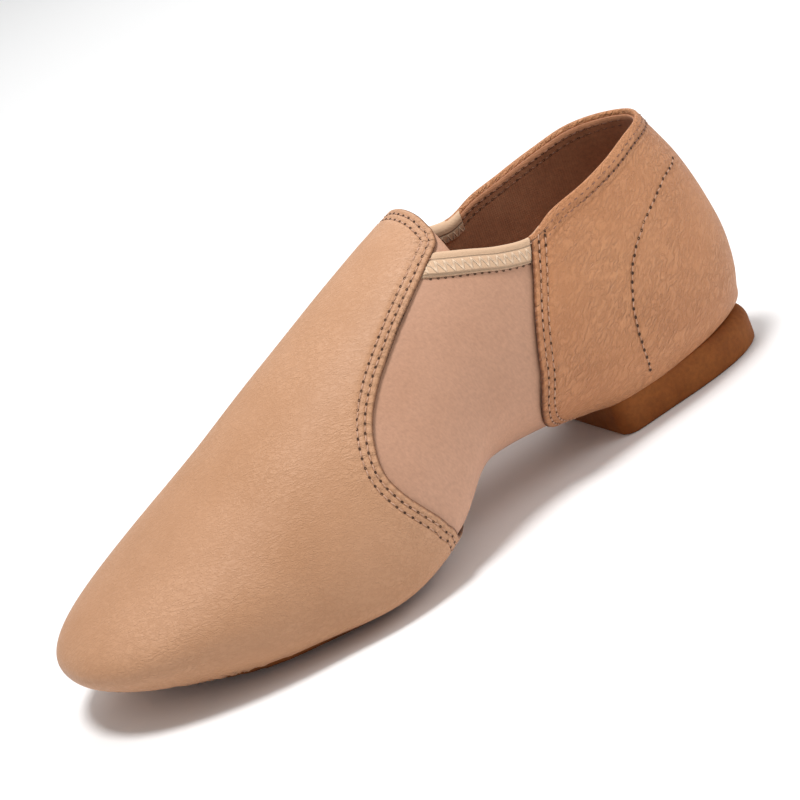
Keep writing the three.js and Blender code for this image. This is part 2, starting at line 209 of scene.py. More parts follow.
def section(x):
    """The last's section at x: centre, half widths, heights and squareness."""
    at = x / LENGTH
    share = round_ends(x, 0, LENGTH, HEEL_ROUND, TOE_ROUND, HEEL_POWER, TOE_POWER)
    toe = np.clip((x - LENGTH + TOE_ROUND) / TOE_ROUND, 0, 1)
    close = (1 - toe**TOE_CLOSE_POWER) ** (1 / TOE_CLOSE_ROOT)
    floor = SOLE_THICKNESS + GAP
    lift = curve(SECTIONS, AT, LIFT, at) * (HEEL_LIFT - floor)
    base = floor + lift + curve(SECTIONS, AT, SPRING, at) * TOE_SPRING
    top = curve(SECTIONS, AT, TOP, at) * INSTEP_HEIGHT
    waist = base + curve(SECTIONS, AT, WAIST, at) * (top - base)
    made = {"share": share, "close": close, "base": base, "top": top, "waist": waist}
    for name, key, size in (("axis", AXIS, BALL_WIDTH), ("lateral", LATERAL, BALL_WIDTH),
                            ("medial", MEDIAL, BALL_WIDTH), ("low", LOW, 1), ("high", HIGH, 1)):
        made[name] = curve(SECTIONS, AT, key, at) * size
    return made


def back_inset(x, z):
    """How far the back of the heel lies in from its plumb line at height z."""
    height = np.clip(z / BACK_HEIGHT, BACK[0, 0], BACK[-1, 0])
    fade = np.clip(1 - x / BACK_CURVE_REACH, 0, 1) ** 2
    return curve(BACK, 0, 1, height) * BACK_CURVE * fade


def last_point(x, degrees, d=0.0):
    """Point of the last, grown by d: 0 degrees outer side, 90 top, 270 underneath."""
    x, degrees, d = np.broadcast_arrays(
        np.asarray(x, float), np.asarray(degrees, float), np.asarray(d, float)
    )
    s = section(x)
    across = np.cos(np.radians(degrees))
    up = np.sin(np.radians(degrees))
    power = 2 / np.where(up >= 0, s["high"], s["low"])
    width = (np.where(across >= 0, s["lateral"], s["medial"]) + d) * s["share"]
    height = np.where(up >= 0, s["top"] - s["waist"], s["waist"] - s["base"]) + d
    y = s["axis"] + np.sign(across) * np.abs(across) ** power * width
    z = s["waist"] + np.sign(up) * np.abs(up) ** power * height * s["close"]
    along = -d + x * (LENGTH + 2 * d) / LENGTH
    return np.stack([along + back_inset(x, z), y, z], -1)


def angle_at(x, z):
    """Angle around the section of a point on its outer side at height z."""
    x, z = np.broadcast_arrays(np.asarray(x, float), np.asarray(z, float))
    s = section(x)
    above = np.clip((z - s["waist"]) / ((s["top"] - s["waist"]) * s["close"]), 0, 1)
    below = np.clip((s["waist"] - z) / ((s["waist"] - s["base"]) * s["close"]), 0, 1)
    upper = np.degrees(np.arcsin(above ** (s["high"] / 2)))
    lower = np.degrees(np.arcsin(below ** (s["low"] / 2)))
    return np.where(z >= s["waist"], upper, -lower)


def folded(degrees):
    """The same height's angle on the outer side, from -90 to 90."""
    return np.degrees(np.arcsin(np.clip(np.sin(np.radians(degrees)), -1, 1)))


def on_side(degrees, side):
    """An angle of the outer side, or its counterpart on the inner side."""
    return degrees if side > 0 else 180 - degrees


def edge_at(edge, degrees):
    """The leather's edge at an angle around the section, the same on both sides."""
    return curve(edge, 0, 1, folded(degrees)) * LENGTH


def top_line(x):
    """Height of the collar over x."""
    return curve(TOP_LINE, 0, 1, np.asarray(x, float) / LENGTH) * BACK_HEIGHT


def below_collar(x, drop, side=1):
    """Angle around the section at a height below the collar."""
    return on_side(angle_at(x, top_line(x) - drop), side)


def normals_at(x, degrees):
    """Outward normals of the last."""
    along = last_point(x + 0.05, degrees) - last_point(x - 0.05, degrees)
    around = last_point(x, degrees + 0.05) - last_point(x, degrees - 0.05)
    n = np.cross(around, along)
    size = np.linalg.norm(n, axis=-1, keepdims=True)
    return n / np.maximum(size, 1e-12)


def metres(points):
    """Points on the last as places in the frame."""
    return (np.asarray(points, float) - ORIGIN) / 1000


def deselect():
    """Leaves object mode with nothing selected."""
    if bpy.context.mode != "OBJECT":
        bpy.ops.object.mode_set(mode="OBJECT")
    bpy.ops.object.select_all(action="DESELECT")


def choose(piece):
    """Selects one piece alone and makes it active."""
    deselect()
    piece.select_set(True)
    bpy.context.view_layer.objects.active = piece


def laid_grid(name, points, maps=None):
    """A grid primitive with its corners moved to points[row, column], in millimetres."""
    rows, columns = points.shape[:2]
    deselect()
    bpy.ops.mesh.primitive_grid_add(x_subdivisions=columns - 1, y_subdivisions=rows - 1, size=1)
    piece = bpy.context.object
    piece.name = name
    mesh = piece.data
    mesh.name = name
    flat = np.empty(len(mesh.vertices) * 3)
    mesh.vertices.foreach_get("co", flat)
    flat = flat.reshape(-1, 3)
    row = np.rint((flat[:, 1] + 0.5) * (rows - 1)).astype(int)
    column = np.rint((flat[:, 0] + 0.5) * (columns - 1)).astype(int)
    mesh.vertices.foreach_set("co", metres(points)[row, column].ravel())
    corner = np.empty(len(mesh.loops), int)
    mesh.loops.foreach_get("vertex_index", corner)
    mesh.uv_layers[0].name = "lay"
    for key, values in (maps or {}).items():
        layer = mesh.uv_layers.get(key) or mesh.uv_layers.new(name=key)
        layer.data.foreach_set("uv", values[row[corner], column[corner]].ravel())
    mesh.update()
    return piece


def chart(points, part, first, second):
    """A flat map for a grid of points: two values over one part of it, 0 elsewhere."""
    made = np.zeros(points.shape[:2] + (2,))
    made[part] = np.stack([first, second], -1)
    return made


def sewn_up(piece, smooth=True):
    """Merges what coincides and points the faces outwards."""
    choose(piece)
    bpy.ops.object.mode_set(mode="EDIT")
    bpy.ops.mesh.select_all(action="SELECT")
    bpy.ops.mesh.remove_doubles(threshold=0.000004)
    bpy.ops.mesh.normals_make_consistent(inside=False)
    bpy.ops.object.mode_set(mode="OBJECT")
    if smooth:
        bpy.ops.object.shade_smooth()
    return piece


def thickened(piece, wall):
    """Gives a sheet its wall, inwards from its faces."""
    choose(piece)
    solid = piece.modifiers.new("wall", "SOLIDIFY")
    solid.thickness = wall / 1000
    solid.offset = -1
    solid.use_even_offset = True
    bpy.ops.object.modifier_apply(modifier=solid.name)
    return piece


def outward(piece, place):
    """Turns the faces so that the one nearest a point of the last faces away from within."""
    mesh = piece.data
    target = Vector(metres(place[0]))
    want = Vector(place[1])
    best = min(mesh.polygons, key=lambda face: (face.center - target).length_squared)
    if best.normal.dot(want) < 0:
        mesh.flip_normals()
    return piece


def joined(pieces, name):
    """Joins pieces into the first of them."""
    choose(pieces[0])
    for piece in pieces[1:]:
        piece.select_set(True)
    bpy.ops.object.join()
    pieces[0].name = name
    pieces[0].data.name = name
    return pieces[0]


def from_copies(name, template, places):
    """One mesh from copies of a template's corners, each by its own 3 by 4 matrix."""
    corners = np.array([v.co for v in template.vertices])
    faces = [tuple(p.vertices) for p in template.polygons]
    count = len(corners)
    whole = np.einsum("nij,vj->nvi", places[:, :, :3], corners) + places[:, None, :, 3]
    mesh = bpy.data.meshes.new(name)
    everything = []
    for n in range(len(places)):
        everything.extend(tuple(v + n * count for v in face) for face in faces)
    mesh.from_pydata(whole.reshape(-1, 3).tolist(), [], everything)
    mesh.update()
    piece = bpy.data.objects.new(name, mesh)
    bpy.context.collection.objects.link(piece)
    return piece


def even(points, spacing):
    """Shares of a line's rows that lie evenly along it, about spacing apart."""
    length = run_length(points)
    count = max(2, int(round(length[-1] / spacing)) + 1)
    return np.interp(np.linspace(0, length[-1], count), length, np.arange(len(points)))


def nearest(points, line):
    """Distance of each point from a dense line, and the length along the line there."""
    length = run_length(line)
    tree = KDTree(len(line))
    for i, place in enumerate(line):
        tree.insert(place, i)
    tree.balance()
    found = [tree.find(p) for p in points.reshape(-1, 3)]
    away = np.array([f[2] for f in found]).reshape(points.shape[:-1])
    along = length[np.array([f[1] for f in found])].reshape(points.shape[:-1])
    return away, along


# Edges of the leather as dense lines on the last

TAB_EDGE = float(edge_at(VAMP_EDGE, 90.0))
BREAST = float(edge_at(QUARTER_EDGE, 90.0))

vamp_angles = np.linspace(-90, 270, 2881)
vamp_line = last_point(edge_at(VAMP_EDGE, vamp_angles), vamp_angles)


def up_to_collar(x, shares, drop=0.0):
    """Angles at shares from 0 underneath to 1 at a height below the collar."""
    return -90 + (below_collar(x, drop) + 90) * shares


def quarter_columns(shares):
    """Front edge of the quarter at shares from 0 underneath to 1 at the collar."""
    x = np.full(len(shares), BREAST + 8.0)
    for _ in range(60):
        degrees = up_to_collar(x, shares)
        x = 0.5 * x + 0.5 * edge_at(QUARTER_EDGE, degrees)
    return x, up_to_collar(x, shares)


quarter_shares = np.linspace(0, 1, 700)
quarter_x, quarter_degrees = quarter_columns(quarter_shares)
quarter_line = last_point(quarter_x, quarter_degrees)
quarter_line_inner = last_point(quarter_x, 180 - quarter_degrees)


# Reliefs: how far the surface stands off the last, in millimetres

def seam_relief(away):
    """Cut edge, the swell beside it and the two rows of stitches that pull the leather in."""
    edge = -0.45 * np.exp(-(away / 0.45) ** 2)
    swell = 0.14 * hump(away, 1.15, 0.75) + 0.10 * hump(away, 3.4, 0.7)
    rows = -0.26 * hump(away, FIRST_ROW, 0.45) - 0.26 * hump(away, SECOND_ROW, 0.5)
    beyond = 0.14 * hump(away, 6.2, 1.6)
    return edge + swell + rows + beyond


def fold(points, start, end, width, depth):
    """A soft trough, or a ridge if depth is above 0, between two places on the last."""
    start = np.array(start, float)
    end = np.array(end, float)
    along = end - start
    length = np.linalg.norm(along)
    t = (points - start) @ along / length**2
    foot = start + np.clip(t, 0, 1)[..., None] * along
    away = np.linalg.norm(points - foot, axis=-1)
    fade = step_up(t, -0.15, 0.25) * step_up(1 - t, -0.15, 0.25)
    return depth * hump(away, 0, width) * fade


VAMP_FOLDS = [
    ((172, 40, 30), (205, 34, 12), 4.5, -0.25),
    ((190, 33, 26), (214, 26, 10), 4.0, 0.20),
    ((150, 34, 46), (176, 10, 50), 9.0, -0.30),
    ((132, 26, 64), (150, -12, 62), 10.0, -0.25),
    ((165, 42, 22), (184, 44, 8), 5.0, -0.20),
    ((206, 25, 7), (215, 25, 13), 0.9, -0.5),
    ((150, -40, 40), (178, -12, 48), 8.0, -0.30),
    ((168, -42, 24), (190, -46, 8), 5.0, -0.22),
]
QUARTER_FOLDS = [
    ((8, 10, 56), (34, 25, 68), 3.0, -0.28),
    ((20, 20, 62), (52, 29, 60), 3.5, 0.18),
    ((30, 26, 40), (62, 31, 62), 3.2, -0.16),
    ((12, 17, 34), (34, 27, 48), 4.0, -0.18),
    ((40, 30, 30), (74, 33, 48), 4.0, -0.14),
    ((46, 30, 20), (80, 33, 34), 4.0, 0.14),
    ((8, -10, 56), (34, -21, 66), 3.0, -0.28),
    ((22, -19, 60), (52, -25, 60), 3.5, 0.18),
    ((32, -23, 40), (64, -27, 60), 3.2, -0.18),
]
GUSSET_FOLDS = [
    ((127, 41, 15), (131, 40, 26), 1.1, 0.65),
    ((123, 38, 16), (129, 41, 29), 1.3, -0.60),
    ((100, 28, 66), (118, 33, 40), 7.0, 0.25),
    ((84, 30, 66), (92, 32, 30), 5.0, -0.20),
    ((96, 34, 30), (120, 36, 18), 5.0, -0.30),
    ((126, -36, 16), (131, -36, 27), 1.6, 0.30),
    ((100, -25, 66), (118, -30, 40), 7.0, 0.25),
]


def folds(points, rows):
    """All the folds of one piece together."""
    return sum(fold(points, *row) for row in rows)


def arch_seam(points, x0, x1):
    """The seam along the middle of the underside, a narrow trough with a swell each side."""
    line = last_point(np.linspace(x0, x1, 120), 270.0)
    middle = np.interp(points[..., 0], line[:, 0], line[:, 1])
    low = np.interp(points[..., 0], line[:, 0], line[:, 2])
    under = 1 - step_up(points[..., 2] - low, 3, 6)
    away = np.abs(points[..., 1] - middle)
    reach = step_up(points[..., 0], x0 - 1, x0) * (1 - step_up(points[..., 0], x1, x1 + 1))
    return (-0.5 * hump(away, 0, 0.5) + 0.15 * hump(away, 1.6, 0.8)) * under * reach


def counter_line(count):
    """The stiffener's row as a dense line: x and z on the outer side."""
    knots = np.arange(len(COUNTER_ROW))
    at = np.linspace(0, knots[-1], count)
    return np.stack([np.interp(at, knots, COUNTER_ROW[:, k]) for k in (0, 1)], -1)


def counter_relief(points):
    """The stiffener's edge shows through the leather, and its stitches draw it in."""
    flat = points[..., (0, 2)].reshape(-1, 2)
    gap = np.full(len(flat), np.inf)
    for x, z in counter_line(300)[:-1]:
        gap = np.minimum(gap, np.hypot(flat[:, 0] - x, flat[:, 1] - z))
    gap = gap.reshape(points.shape[:-1])
    return -0.24 * hump(gap, 0, 0.6) + 0.10 * hump(gap, 1.6, 0.8)


GATHER_CENTRE = np.array([186.0, -7.0])
GATHERS = 40


def gathers(points):
    """Pleats under the toe: the phase around it and how deep they are."""
    away = points[..., :2] - GATHER_CENTRE
    turn = np.degrees(np.arctan2(away[..., 1], away[..., 0]))
    sway = 3.0 * np.sin(np.radians(turn * 7.0)) + 2.2 * np.sin(np.radians(turn * 17.0 + 40))
    phase = (turn + sway) / 180 * GATHERS
    at_front = step_up(88 - np.abs(turn + 4), 0, 30)
    low = 1 - step_up(points[..., 2], 5.5, 12.0)
    return phase, at_front * low


def gather_relief(points):
    """Soft pleats with sharper valleys between them."""
    phase, depth = gathers(points)
    wave = np.cos(2 * np.pi * phase)
    return depth * (0.45 * wave - 0.35 * np.maximum(-wave, 0) ** 3)


# Upper: vamp, quarter, stretch body, lining and bindings

def vamp_leather():
    """The leather toe part: inner face, rounded cut edge and outer face in one closed sheet."""
    degrees = np.interp(even(vamp_line, 0.95), np.arange(len(vamp_angles)), vamp_angles)
    start = edge_at(VAMP_EDGE, degrees)
    near = np.array([0.0, 0.35, 0.8, 1.3, 1.8, 2.3, 2.8, 3.4, 4.0, 4.5, 5.0, 5.7, 6.5, 7.5, 8.7])
    along = np.linspace(0, 1, 118)[1:]
    reach = LENGTH - start[None, :]
    close = near[:, None] * np.ones_like(start)[None, :]
    far = close[-1] + (reach - close[-1]) * np.sin(np.pi / 2 * along)[:, None] ** 0.9
    x = np.minimum(start[None, :] + np.concatenate([close, far]), LENGTH)
    angles = np.broadcast_to(degrees, x.shape)
    base = last_point(x, angles)
    away, length = nearest(base, vamp_line)
    relief = seam_relief(away) + folds(base, VAMP_FOLDS) + arch_seam(base, 117, 129.5)
    tip = step_up(LENGTH - x, 0.0, 4.0)
    relief = relief * tip + gather_relief(base) * step_up(LENGTH - x, 0.5, 6.0)
    outer = last_point(x, angles, relief)
    inner_rows = np.concatenate([np.array([0.05, 1.5, 4.0]), np.linspace(8, 100, 16)])
    inner_x = start[None, :] + inner_rows[::-1, None] / 100 * reach
    inner_x[0] = LENGTH
    inner = last_point(inner_x, np.broadcast_to(degrees, inner_x.shape), -LEATHER)
    lip = last_point(start, degrees, -0.75)
    points = np.concatenate([inner, lip[None], outer])
    outside = np.s_[len(inner) + 1:]
    phase, depth = gathers(base)
    piece = laid_grid("vamp_leather", points, {
        "seam": chart(points, outside, length / 1000, away / 1000),
        "pleat": chart(points, outside, phase / GATHERS, depth),
    })
    return sewn_up(piece)


def quarter_leather():
    """The leather heel part, its collar turned in over the lining."""
    rows_far = 1 - np.sin(np.pi / 2 * np.linspace(1, 0, 120))
    near = np.array([0.91, 0.92, 0.93, 0.939, 0.947, 0.955, 0.962, 0.969, 0.976, 0.983, 0.989,
                     0.995, 1.0])
    rows = np.concatenate([rows_far * 0.9, near])
    low = np.linspace(0, 0.45, 34, endpoint=False)
    high = 0.45 + (0.955 - 0.45) * np.linspace(0, 1, 64, endpoint=False)
    top = np.linspace(0.955, 0.985, 10)
    shares = np.concatenate([low, high, top])
    x = quarter_columns(shares)[0][None, :] * rows[:, None]
    degrees = up_to_collar(x, shares[None, :])
    halves = []
    for side in (1, -1):
        turned = on_side(degrees, side)
        base = last_point(x, turned)
        line = quarter_line if side > 0 else quarter_line_inner
        away, length = nearest(base, line)
        collar = last_point(x[:, -1], turned[:, -1])
        below, collar_length = nearest(base, collar)
        hem = -0.24 * hump(below, 1.3, 0.5) - 0.24 * hump(below, 3.3, 0.5)
        hem = hem + 0.12 * hump(below, 0.1, 0.7) + 0.12 * hump(below, 2.3, 0.6)
        relief = seam_relief(away) + hem + folds(base, QUARTER_FOLDS)
        relief = relief + arch_seam(base, 60, 73) + counter_relief(base)
        over_block = hump(base[..., 2], 11.5, 2.6) * (1 - step_up(base[..., 0], 58, 70))
        outer = last_point(x, turned, relief + over_block)
        block = np.concatenate([outer, np.stack(collar_turn(x[:, -1], side), 1)], axis=1)
        lip = last_point(x[-1], turned[-1], -0.8)
        lip = np.concatenate([lip, block[-1, len(shares):]])
        block = np.concatenate([block, lip[None]])
        outside = np.s_[:len(rows), :len(shares)]
        seam = chart(block, outside, length / 1000, away / 1000)
        seam[:, len(shares):, 1] = 0.02
        halves.append((block, seam, chart(block, outside, collar_length / 1000, below / 1000)))
    points, seam, hem_map = (
        np.concatenate([inner_half[:, ::-1], outer_half[:, 1:]], axis=1)
        for outer_half, inner_half in zip(*halves)
    )
    piece = laid_grid("quarter_leather", points, {"seam": seam, "hem": hem_map})
    sewn_up(piece)
    outward(piece, (last_point(40.0, 0.0), (0, 1, 0)))
    return thickened(piece, LEATHER_SHEET)


def collar_turn(x, side):
    """Rows that roll the quarter's top edge inwards and a little down."""
    turned = below_collar(x, 0.0, side)
    up = unit(last_point(x, turned + side * 0.05) - last_point(x, turned - side * 0.05))
    rows = []
    for turn in (22, 45, 68, 90, 115, 145, 180):
        a = math.radians(turn)
        rise = COLLAR_ROLL * math.sin(a) - COLLAR_ROLL
        rows.append(last_point(x, turned, -COLLAR_ROLL * (1 - math.cos(a))) + up * rise)
    for drop, d in ((0.15, -1.92), (0.35, -1.94)):
        rows.append(last_point(x, turned, d) - up * (COLLAR_ROLL + drop))
    return rows


def body_sheet(name, d, wall, top_drop, relief_rows=None):
    """The cloth body from heel to toe, open at the collar, hung inside the leather."""
    def grown(x, turned):
        base = last_point(x, turned)
        relief = folds(base, relief_rows) + arch_seam(base, 64, 125) if relief_rows else 0.0
        return last_point(x, turned, d + relief)

    shares = np.concatenate([np.linspace(0, 0.5, 40, endpoint=False), np.linspace(0.5, 1, 46)])
    back_x = np.concatenate([
        HEEL_ROUND * (1 - np.cos(np.pi / 2 * np.linspace(0, 1, 16))),
        np.linspace(HEEL_ROUND, TAB_EDGE, 36)[1:],
    ])
    x = np.broadcast_to(back_x[:, None], (len(back_x), len(shares)))
    degrees = up_to_collar(back_x[:, None], shares[None, :], top_drop)
    inner_half, outer_half = (grown(x, on_side(degrees, side)) for side in (-1, 1))
    open_part = np.concatenate([inner_half[:, ::-1], outer_half[:, 1:]], axis=1)
    front_x = np.concatenate([
        np.linspace(TAB_EDGE, LENGTH - TOE_ROUND, 62)[:-1],
        LENGTH - TOE_ROUND * (1 - np.sin(np.pi / 2 * np.linspace(0, 1, 18))),
    ])
    ring = degrees[-1]
    over = np.linspace(ring[-1], 180 - ring[-1], 24)[1:]
    ring = np.concatenate([180 - ring[::-1] - 360, ring[1:], over])
    x = np.broadcast_to(front_x[:, None], (len(front_x), len(ring)))
    back = laid_grid(name, open_part)
    front = laid_grid(name + "_front", grown(x, np.broadcast_to(ring, x.shape)))
    piece = joined([back, front], name)
    sewn_up(piece)
    outward(piece, (last_point(110.0, 0.0), (0, 1, 0)))
    return thickened(piece, wall)


def binding(side, name):
    """Elastic folded over the top of the stretch cloth, its ends under the leather."""
    x = np.linspace(BREAST - 2.2, TAB_EDGE + 14.5, 120)
    top = top_line(x) - 0.1
    profile = [
        (-6.9, -1.15), (-6.75, -0.62), (-6.3, -0.34), (-5.6, -0.22), (-4.7, -0.12), (-3.6, -0.05),
        (-2.9, -0.08), (-2.35, -0.30), (-2.05, -0.34), (-1.75, -0.22), (-1.2, -0.02), (-0.6, -0.12),
        (-0.2, -0.55), (0.0, -1.35), (-0.15, -2.1), (-0.5, -2.7), (-1.2, -3.0), (-3.0, -3.1),
        (-5.2, -3.1), (-5.6, -2.8),
    ]
    rows = []
    for drop, d in profile:
        turned = on_side(angle_at(x, top + drop), side)
        base = last_point(x, turned)
        away, _ = nearest(base, vamp_line)
        behind, _ = nearest(base, quarter_line if side > 0 else quarter_line_inner)
        away = np.where(x > edge_at(VAMP_EDGE, turned), -away, away)
        behind = np.where(x < edge_at(QUARTER_EDGE, turned), -behind, behind)
        tuck = 1 - step_up(np.minimum(away, behind), -0.3, 1.1)
        sunk = np.where(tuck > 0, d * (1 - tuck) + tuck * min(d, -1.12), d)
        rows.append(last_point(x, turned, sunk))
    points = np.stack(rows)
    along, down = np.meshgrid(x, [drop for drop, _ in profile])
    piece = laid_grid(name, points, {"weave": chart(points, np.s_[:], along / 1000, down / 1000)})
    sewn_up(piece)
    outward(piece, (last_point(88.0, 62.0 if side > 0 else 118.0), (0, side, 0.5)))
    return thickened(piece, ELASTIC_SHEET)


# Rubber parts

PATCH_CENTRE = np.array([178.0, -2.5])
HEEL_CENTRE = np.array([33.0, 1.9])
PATCH_RIM = 3.2
HEEL_RIM = 2.2
TREAD_DEPTH = 0.55
DEEPEST_TUCK = 9.0
NO_ROOF = 99.0
SINK = 0.02
TREAD_EDGE = 0.7
STUD_LENGTH = 2.6
STUD_WIDTH = 1.9
STUD_SHARE = 0.46


def plan_half(x, side):
    """Half the patch's width at x, on one side of the last's axis."""
    s = section(x)
    full = np.where(side > 0, s["lateral"], s["medial"]) * s["share"] - SOLE_MARGIN - PATCH_INSET
    return full * round_ends(x, SOLE_BACK, SOLE_FRONT, SOLE_BACK_ROUND, SOLE_FRONT_ROUND,
                             SOLE_BACK_POWER, SOLE_FRONT_POWER)


def evened(line, count):
    """A plan outline with its corners evenly apart."""
    picks = even(line, np.sum(np.linalg.norm(np.diff(line, axis=0), axis=1)) / count)
    return np.stack([np.interp(picks, np.arange(len(line)), line[:, k]) for k in (0, 1)], -1)


def patch_outline(count=240):
    """Outline of the forefoot patch in the plan."""
    turn = np.linspace(0, 2 * np.pi, count * 8 + 1)[:-1]
    middle = (SOLE_BACK + SOLE_FRONT) / 2
    half = (SOLE_FRONT - SOLE_BACK) / 2
    x = np.clip(middle + half * np.cos(turn), SOLE_BACK + 1e-6, SOLE_FRONT - 1e-6)
    side = np.where(np.sin(turn) >= 0, 1, -1)
    line = np.stack([x, section(x)["axis"] + side * plan_half(x, side)], -1)
    return evened(np.concatenate([line, line[:1]]), count)[:-1]


def heel_outline(count=200):
    """Outline of the heel block in the plan, round at the back, straight at the breast."""
    x = HEEL_LENGTH * np.linspace(0, 1, 800) + HEEL_BACK_SET * np.linspace(1, 0, 800)
    width = HEEL_BACK_WIDTH + (HEEL_WIDTH - HEEL_BACK_WIDTH) * x / HEEL_LENGTH
    a = np.clip((HEEL_BACK_ROUND + HEEL_BACK_SET - x) / HEEL_BACK_ROUND, 0, 1)
    half = width / 2 * (1 - a**HEEL_BACK_POWER) ** (1 / HEEL_BACK_POWER)
    into = np.clip((x - (HEEL_LENGTH - HEEL_CORNER)) / HEEL_CORNER, 0, 1)
    half = half - HEEL_CORNER * (1 - np.sqrt(np.clip(1 - into**2, 0, 1)))
    axis = section(x)["axis"]
    outer = np.stack([x, axis + half], -1)
    inner = np.stack([x, axis - half], -1)[::-1]
    breast = np.stack([np.full(60, HEEL_LENGTH), np.linspace(outer[-1, 1], inner[0, 1], 60)], -1)
    return evened(np.concatenate([outer, breast[1:-1], inner]), count)[:-1]


def underside(x, y, d):
    """Height of the last's lower face, grown by d, over a place in the plan."""
    x = np.clip(np.asarray(x, float), 0.5, LENGTH - 0.5)
    s = section(x)
    width = (np.where(y >= s["axis"], s["lateral"], s["medial"]) + d) * s["share"]
    share = np.abs(y - s["axis"]) / np.maximum(width, 1e-6)
    drop = np.clip(1 - np.clip(share, 0, 1) ** s["low"], 0, 1) ** (1 / s["low"])
    z = s["waist"] - drop * (s["waist"] - s["base"] + d) * s["close"]
    return np.where(share >= 1, 0.0, z)


def inward_normals(outline, centre):
    """Directions in the plan that point inwards from an outline."""
    ahead = np.roll(outline, -1, axis=0) - np.roll(outline, 1, axis=0)
    normal = unit(np.stack([ahead[:, 1], -ahead[:, 0]], -1))
    return -normal if np.sum(normal * (outline - centre)) > 0 else normal


def shrunk(outline, centre, shares):
    """Copies of an outline drawn in to its centre, one for each share."""
    return centre + (outline - centre)[None] * shares[:, None, None]


def tread(outline, centre, shares, rim):
    """How far each place lies in from the outline, and how deep the tread is cut there."""
    from_edge = (1 - shares)[:, None] * np.linalg.norm(outline - centre, axis=1)[None, :]
    return from_edge, TREAD_DEPTH * step_up(from_edge, rim, rim + TREAD_EDGE)


def softened(ring, reach):
    """Values around a ring, each the mean of its neighbours up to reach away."""
    return np.mean([np.roll(ring, k) for k in range(-reach, reach + 1)], axis=0)


def ring_solid(name, plan, z):
    """A closed piece from rings in the plan and their heights."""
    points = np.concatenate([plan, z[..., None]], -1)
    return sewn_up(laid_grid(name, np.concatenate([points, points[:, :1]], axis=1)))


def ceiling(piece):
    """A search tree of a piece's faces, to find what lies above a place."""
    mesh = piece.data
    corners = [v.co.copy() for v in mesh.vertices]
    return BVHTree.FromPolygons(corners, [tuple(p.vertices) for p in mesh.polygons])


def height_over(tree, plan):
    """Height of the lowest face above each place in the plan, NO_ROOF where there is none."""
    low = np.full(plan.shape[:-1] + (1,), -20.0)
    places = metres(np.concatenate([plan, low], -1)).reshape(-1, 3)
    found = [tree.ray_cast(Vector(p), Vector((0, 0, 1)))[0] for p in places]
    z = np.array([NO_ROOF if f is None else f.z * 1000 for f in found])
    return z.reshape(plan.shape[:-1])


def patch_low(plan):
    """Height of the forefoot patch's walking face, before its tread is cut."""
    d = GAP + SOLE_THICKNESS + SOLE_FLAT_DEPTH
    return np.maximum(underside(plan[..., 0], plan[..., 1], d), 0)


def forefoot_patch(over):
    """The rubber under the ball of the foot, its smooth rim thinned out to the leather."""
    outline = patch_outline()
    inward = inward_normals(outline, PATCH_CENTRE)
    shares = np.concatenate([np.linspace(0, 0.92, 26), np.linspace(0.925, 1, 15)])
    face = shrunk(outline, PATCH_CENTRE, shares)
    from_edge, cut = tread(outline, PATCH_CENTRE, shares, PATCH_RIM)
    low = patch_low(face) + cut
    roof = height_over(over, face) - SINK
    bevel = 1 - step_up(from_edge, 0.0, PATCH_RIM + 2.0)
    z = low + (roof - 0.45 - low) * bevel
    steps = ((0.05, 0.12), (0.08, 0.25), (0.0, 0.45))
    wall = np.array([outline - inward * out for out, _ in steps])
    wall_z = np.array([z[-1] + rise for _, rise in steps])
    top = shrunk(outline, PATCH_CENTRE, np.linspace(0.99, 0, 24))
    top_z = height_over(over, top) - SINK
    return ring_solid("forefoot_patch", np.concatenate([face, wall, top]),
                      np.concatenate([z, wall_z, top_z]))


def heel_block(over):
    """The rubber heel, its wall drawn in at the top to meet the leather, with a tread below."""
    outline = heel_outline()
    inward = inward_normals(outline, HEEL_CENTRE)
    tuck = np.full(len(outline), DEEPEST_TUCK)
    for step in np.arange(DEEPEST_TUCK, -0.01, -0.25):
        z = height_over(over, outline + inward * step)
        tuck = np.where(z <= HEEL_TOP, step, tuck)
    tuck = softened(tuck, 4)
    shares = np.concatenate([np.linspace(0, 0.88, 22), np.linspace(0.89, 0.97, 9)])
    bottom = shrunk(outline, HEEL_CENTRE, shares)
    _, bottom_z = tread(outline, HEEL_CENTRE, shares, HEEL_RIM)
    rise = np.array([0.0, 0.02, 0.05, 0.10, 0.22, 0.36, 0.50, 0.60, 0.70, 0.79, 0.87, 0.93, 0.97,
                     0.99, 1.0])
    foot = np.concatenate([[0.95, 0.5, 0.2, 0.04], np.zeros(11)])
    curl = 1 - np.sqrt(1 - np.clip((rise - 0.60) / 0.40, 0, 1) ** 2)
    top_ring = outline + inward * (tuck + 0.1)[:, None]
    top = softened(np.minimum(height_over(over, top_ring), HEEL_TOP), 2)
    draw = foot[:, None] + (tuck + 0.1)[None, :] * curl[:, None]
    wall = outline[None] + inward[None] * draw[:, :, None]
    roof = shrunk(top_ring, HEEL_CENTRE, np.linspace(0.98, 0, 24))
    roof_z = np.minimum(height_over(over, roof), HEEL_TOP + 0.5) - SINK
    return ring_solid("heel_block", np.concatenate([bottom, wall, roof]),
                      np.concatenate([bottom_z, top[None, :] * rise[:, None], roof_z]))


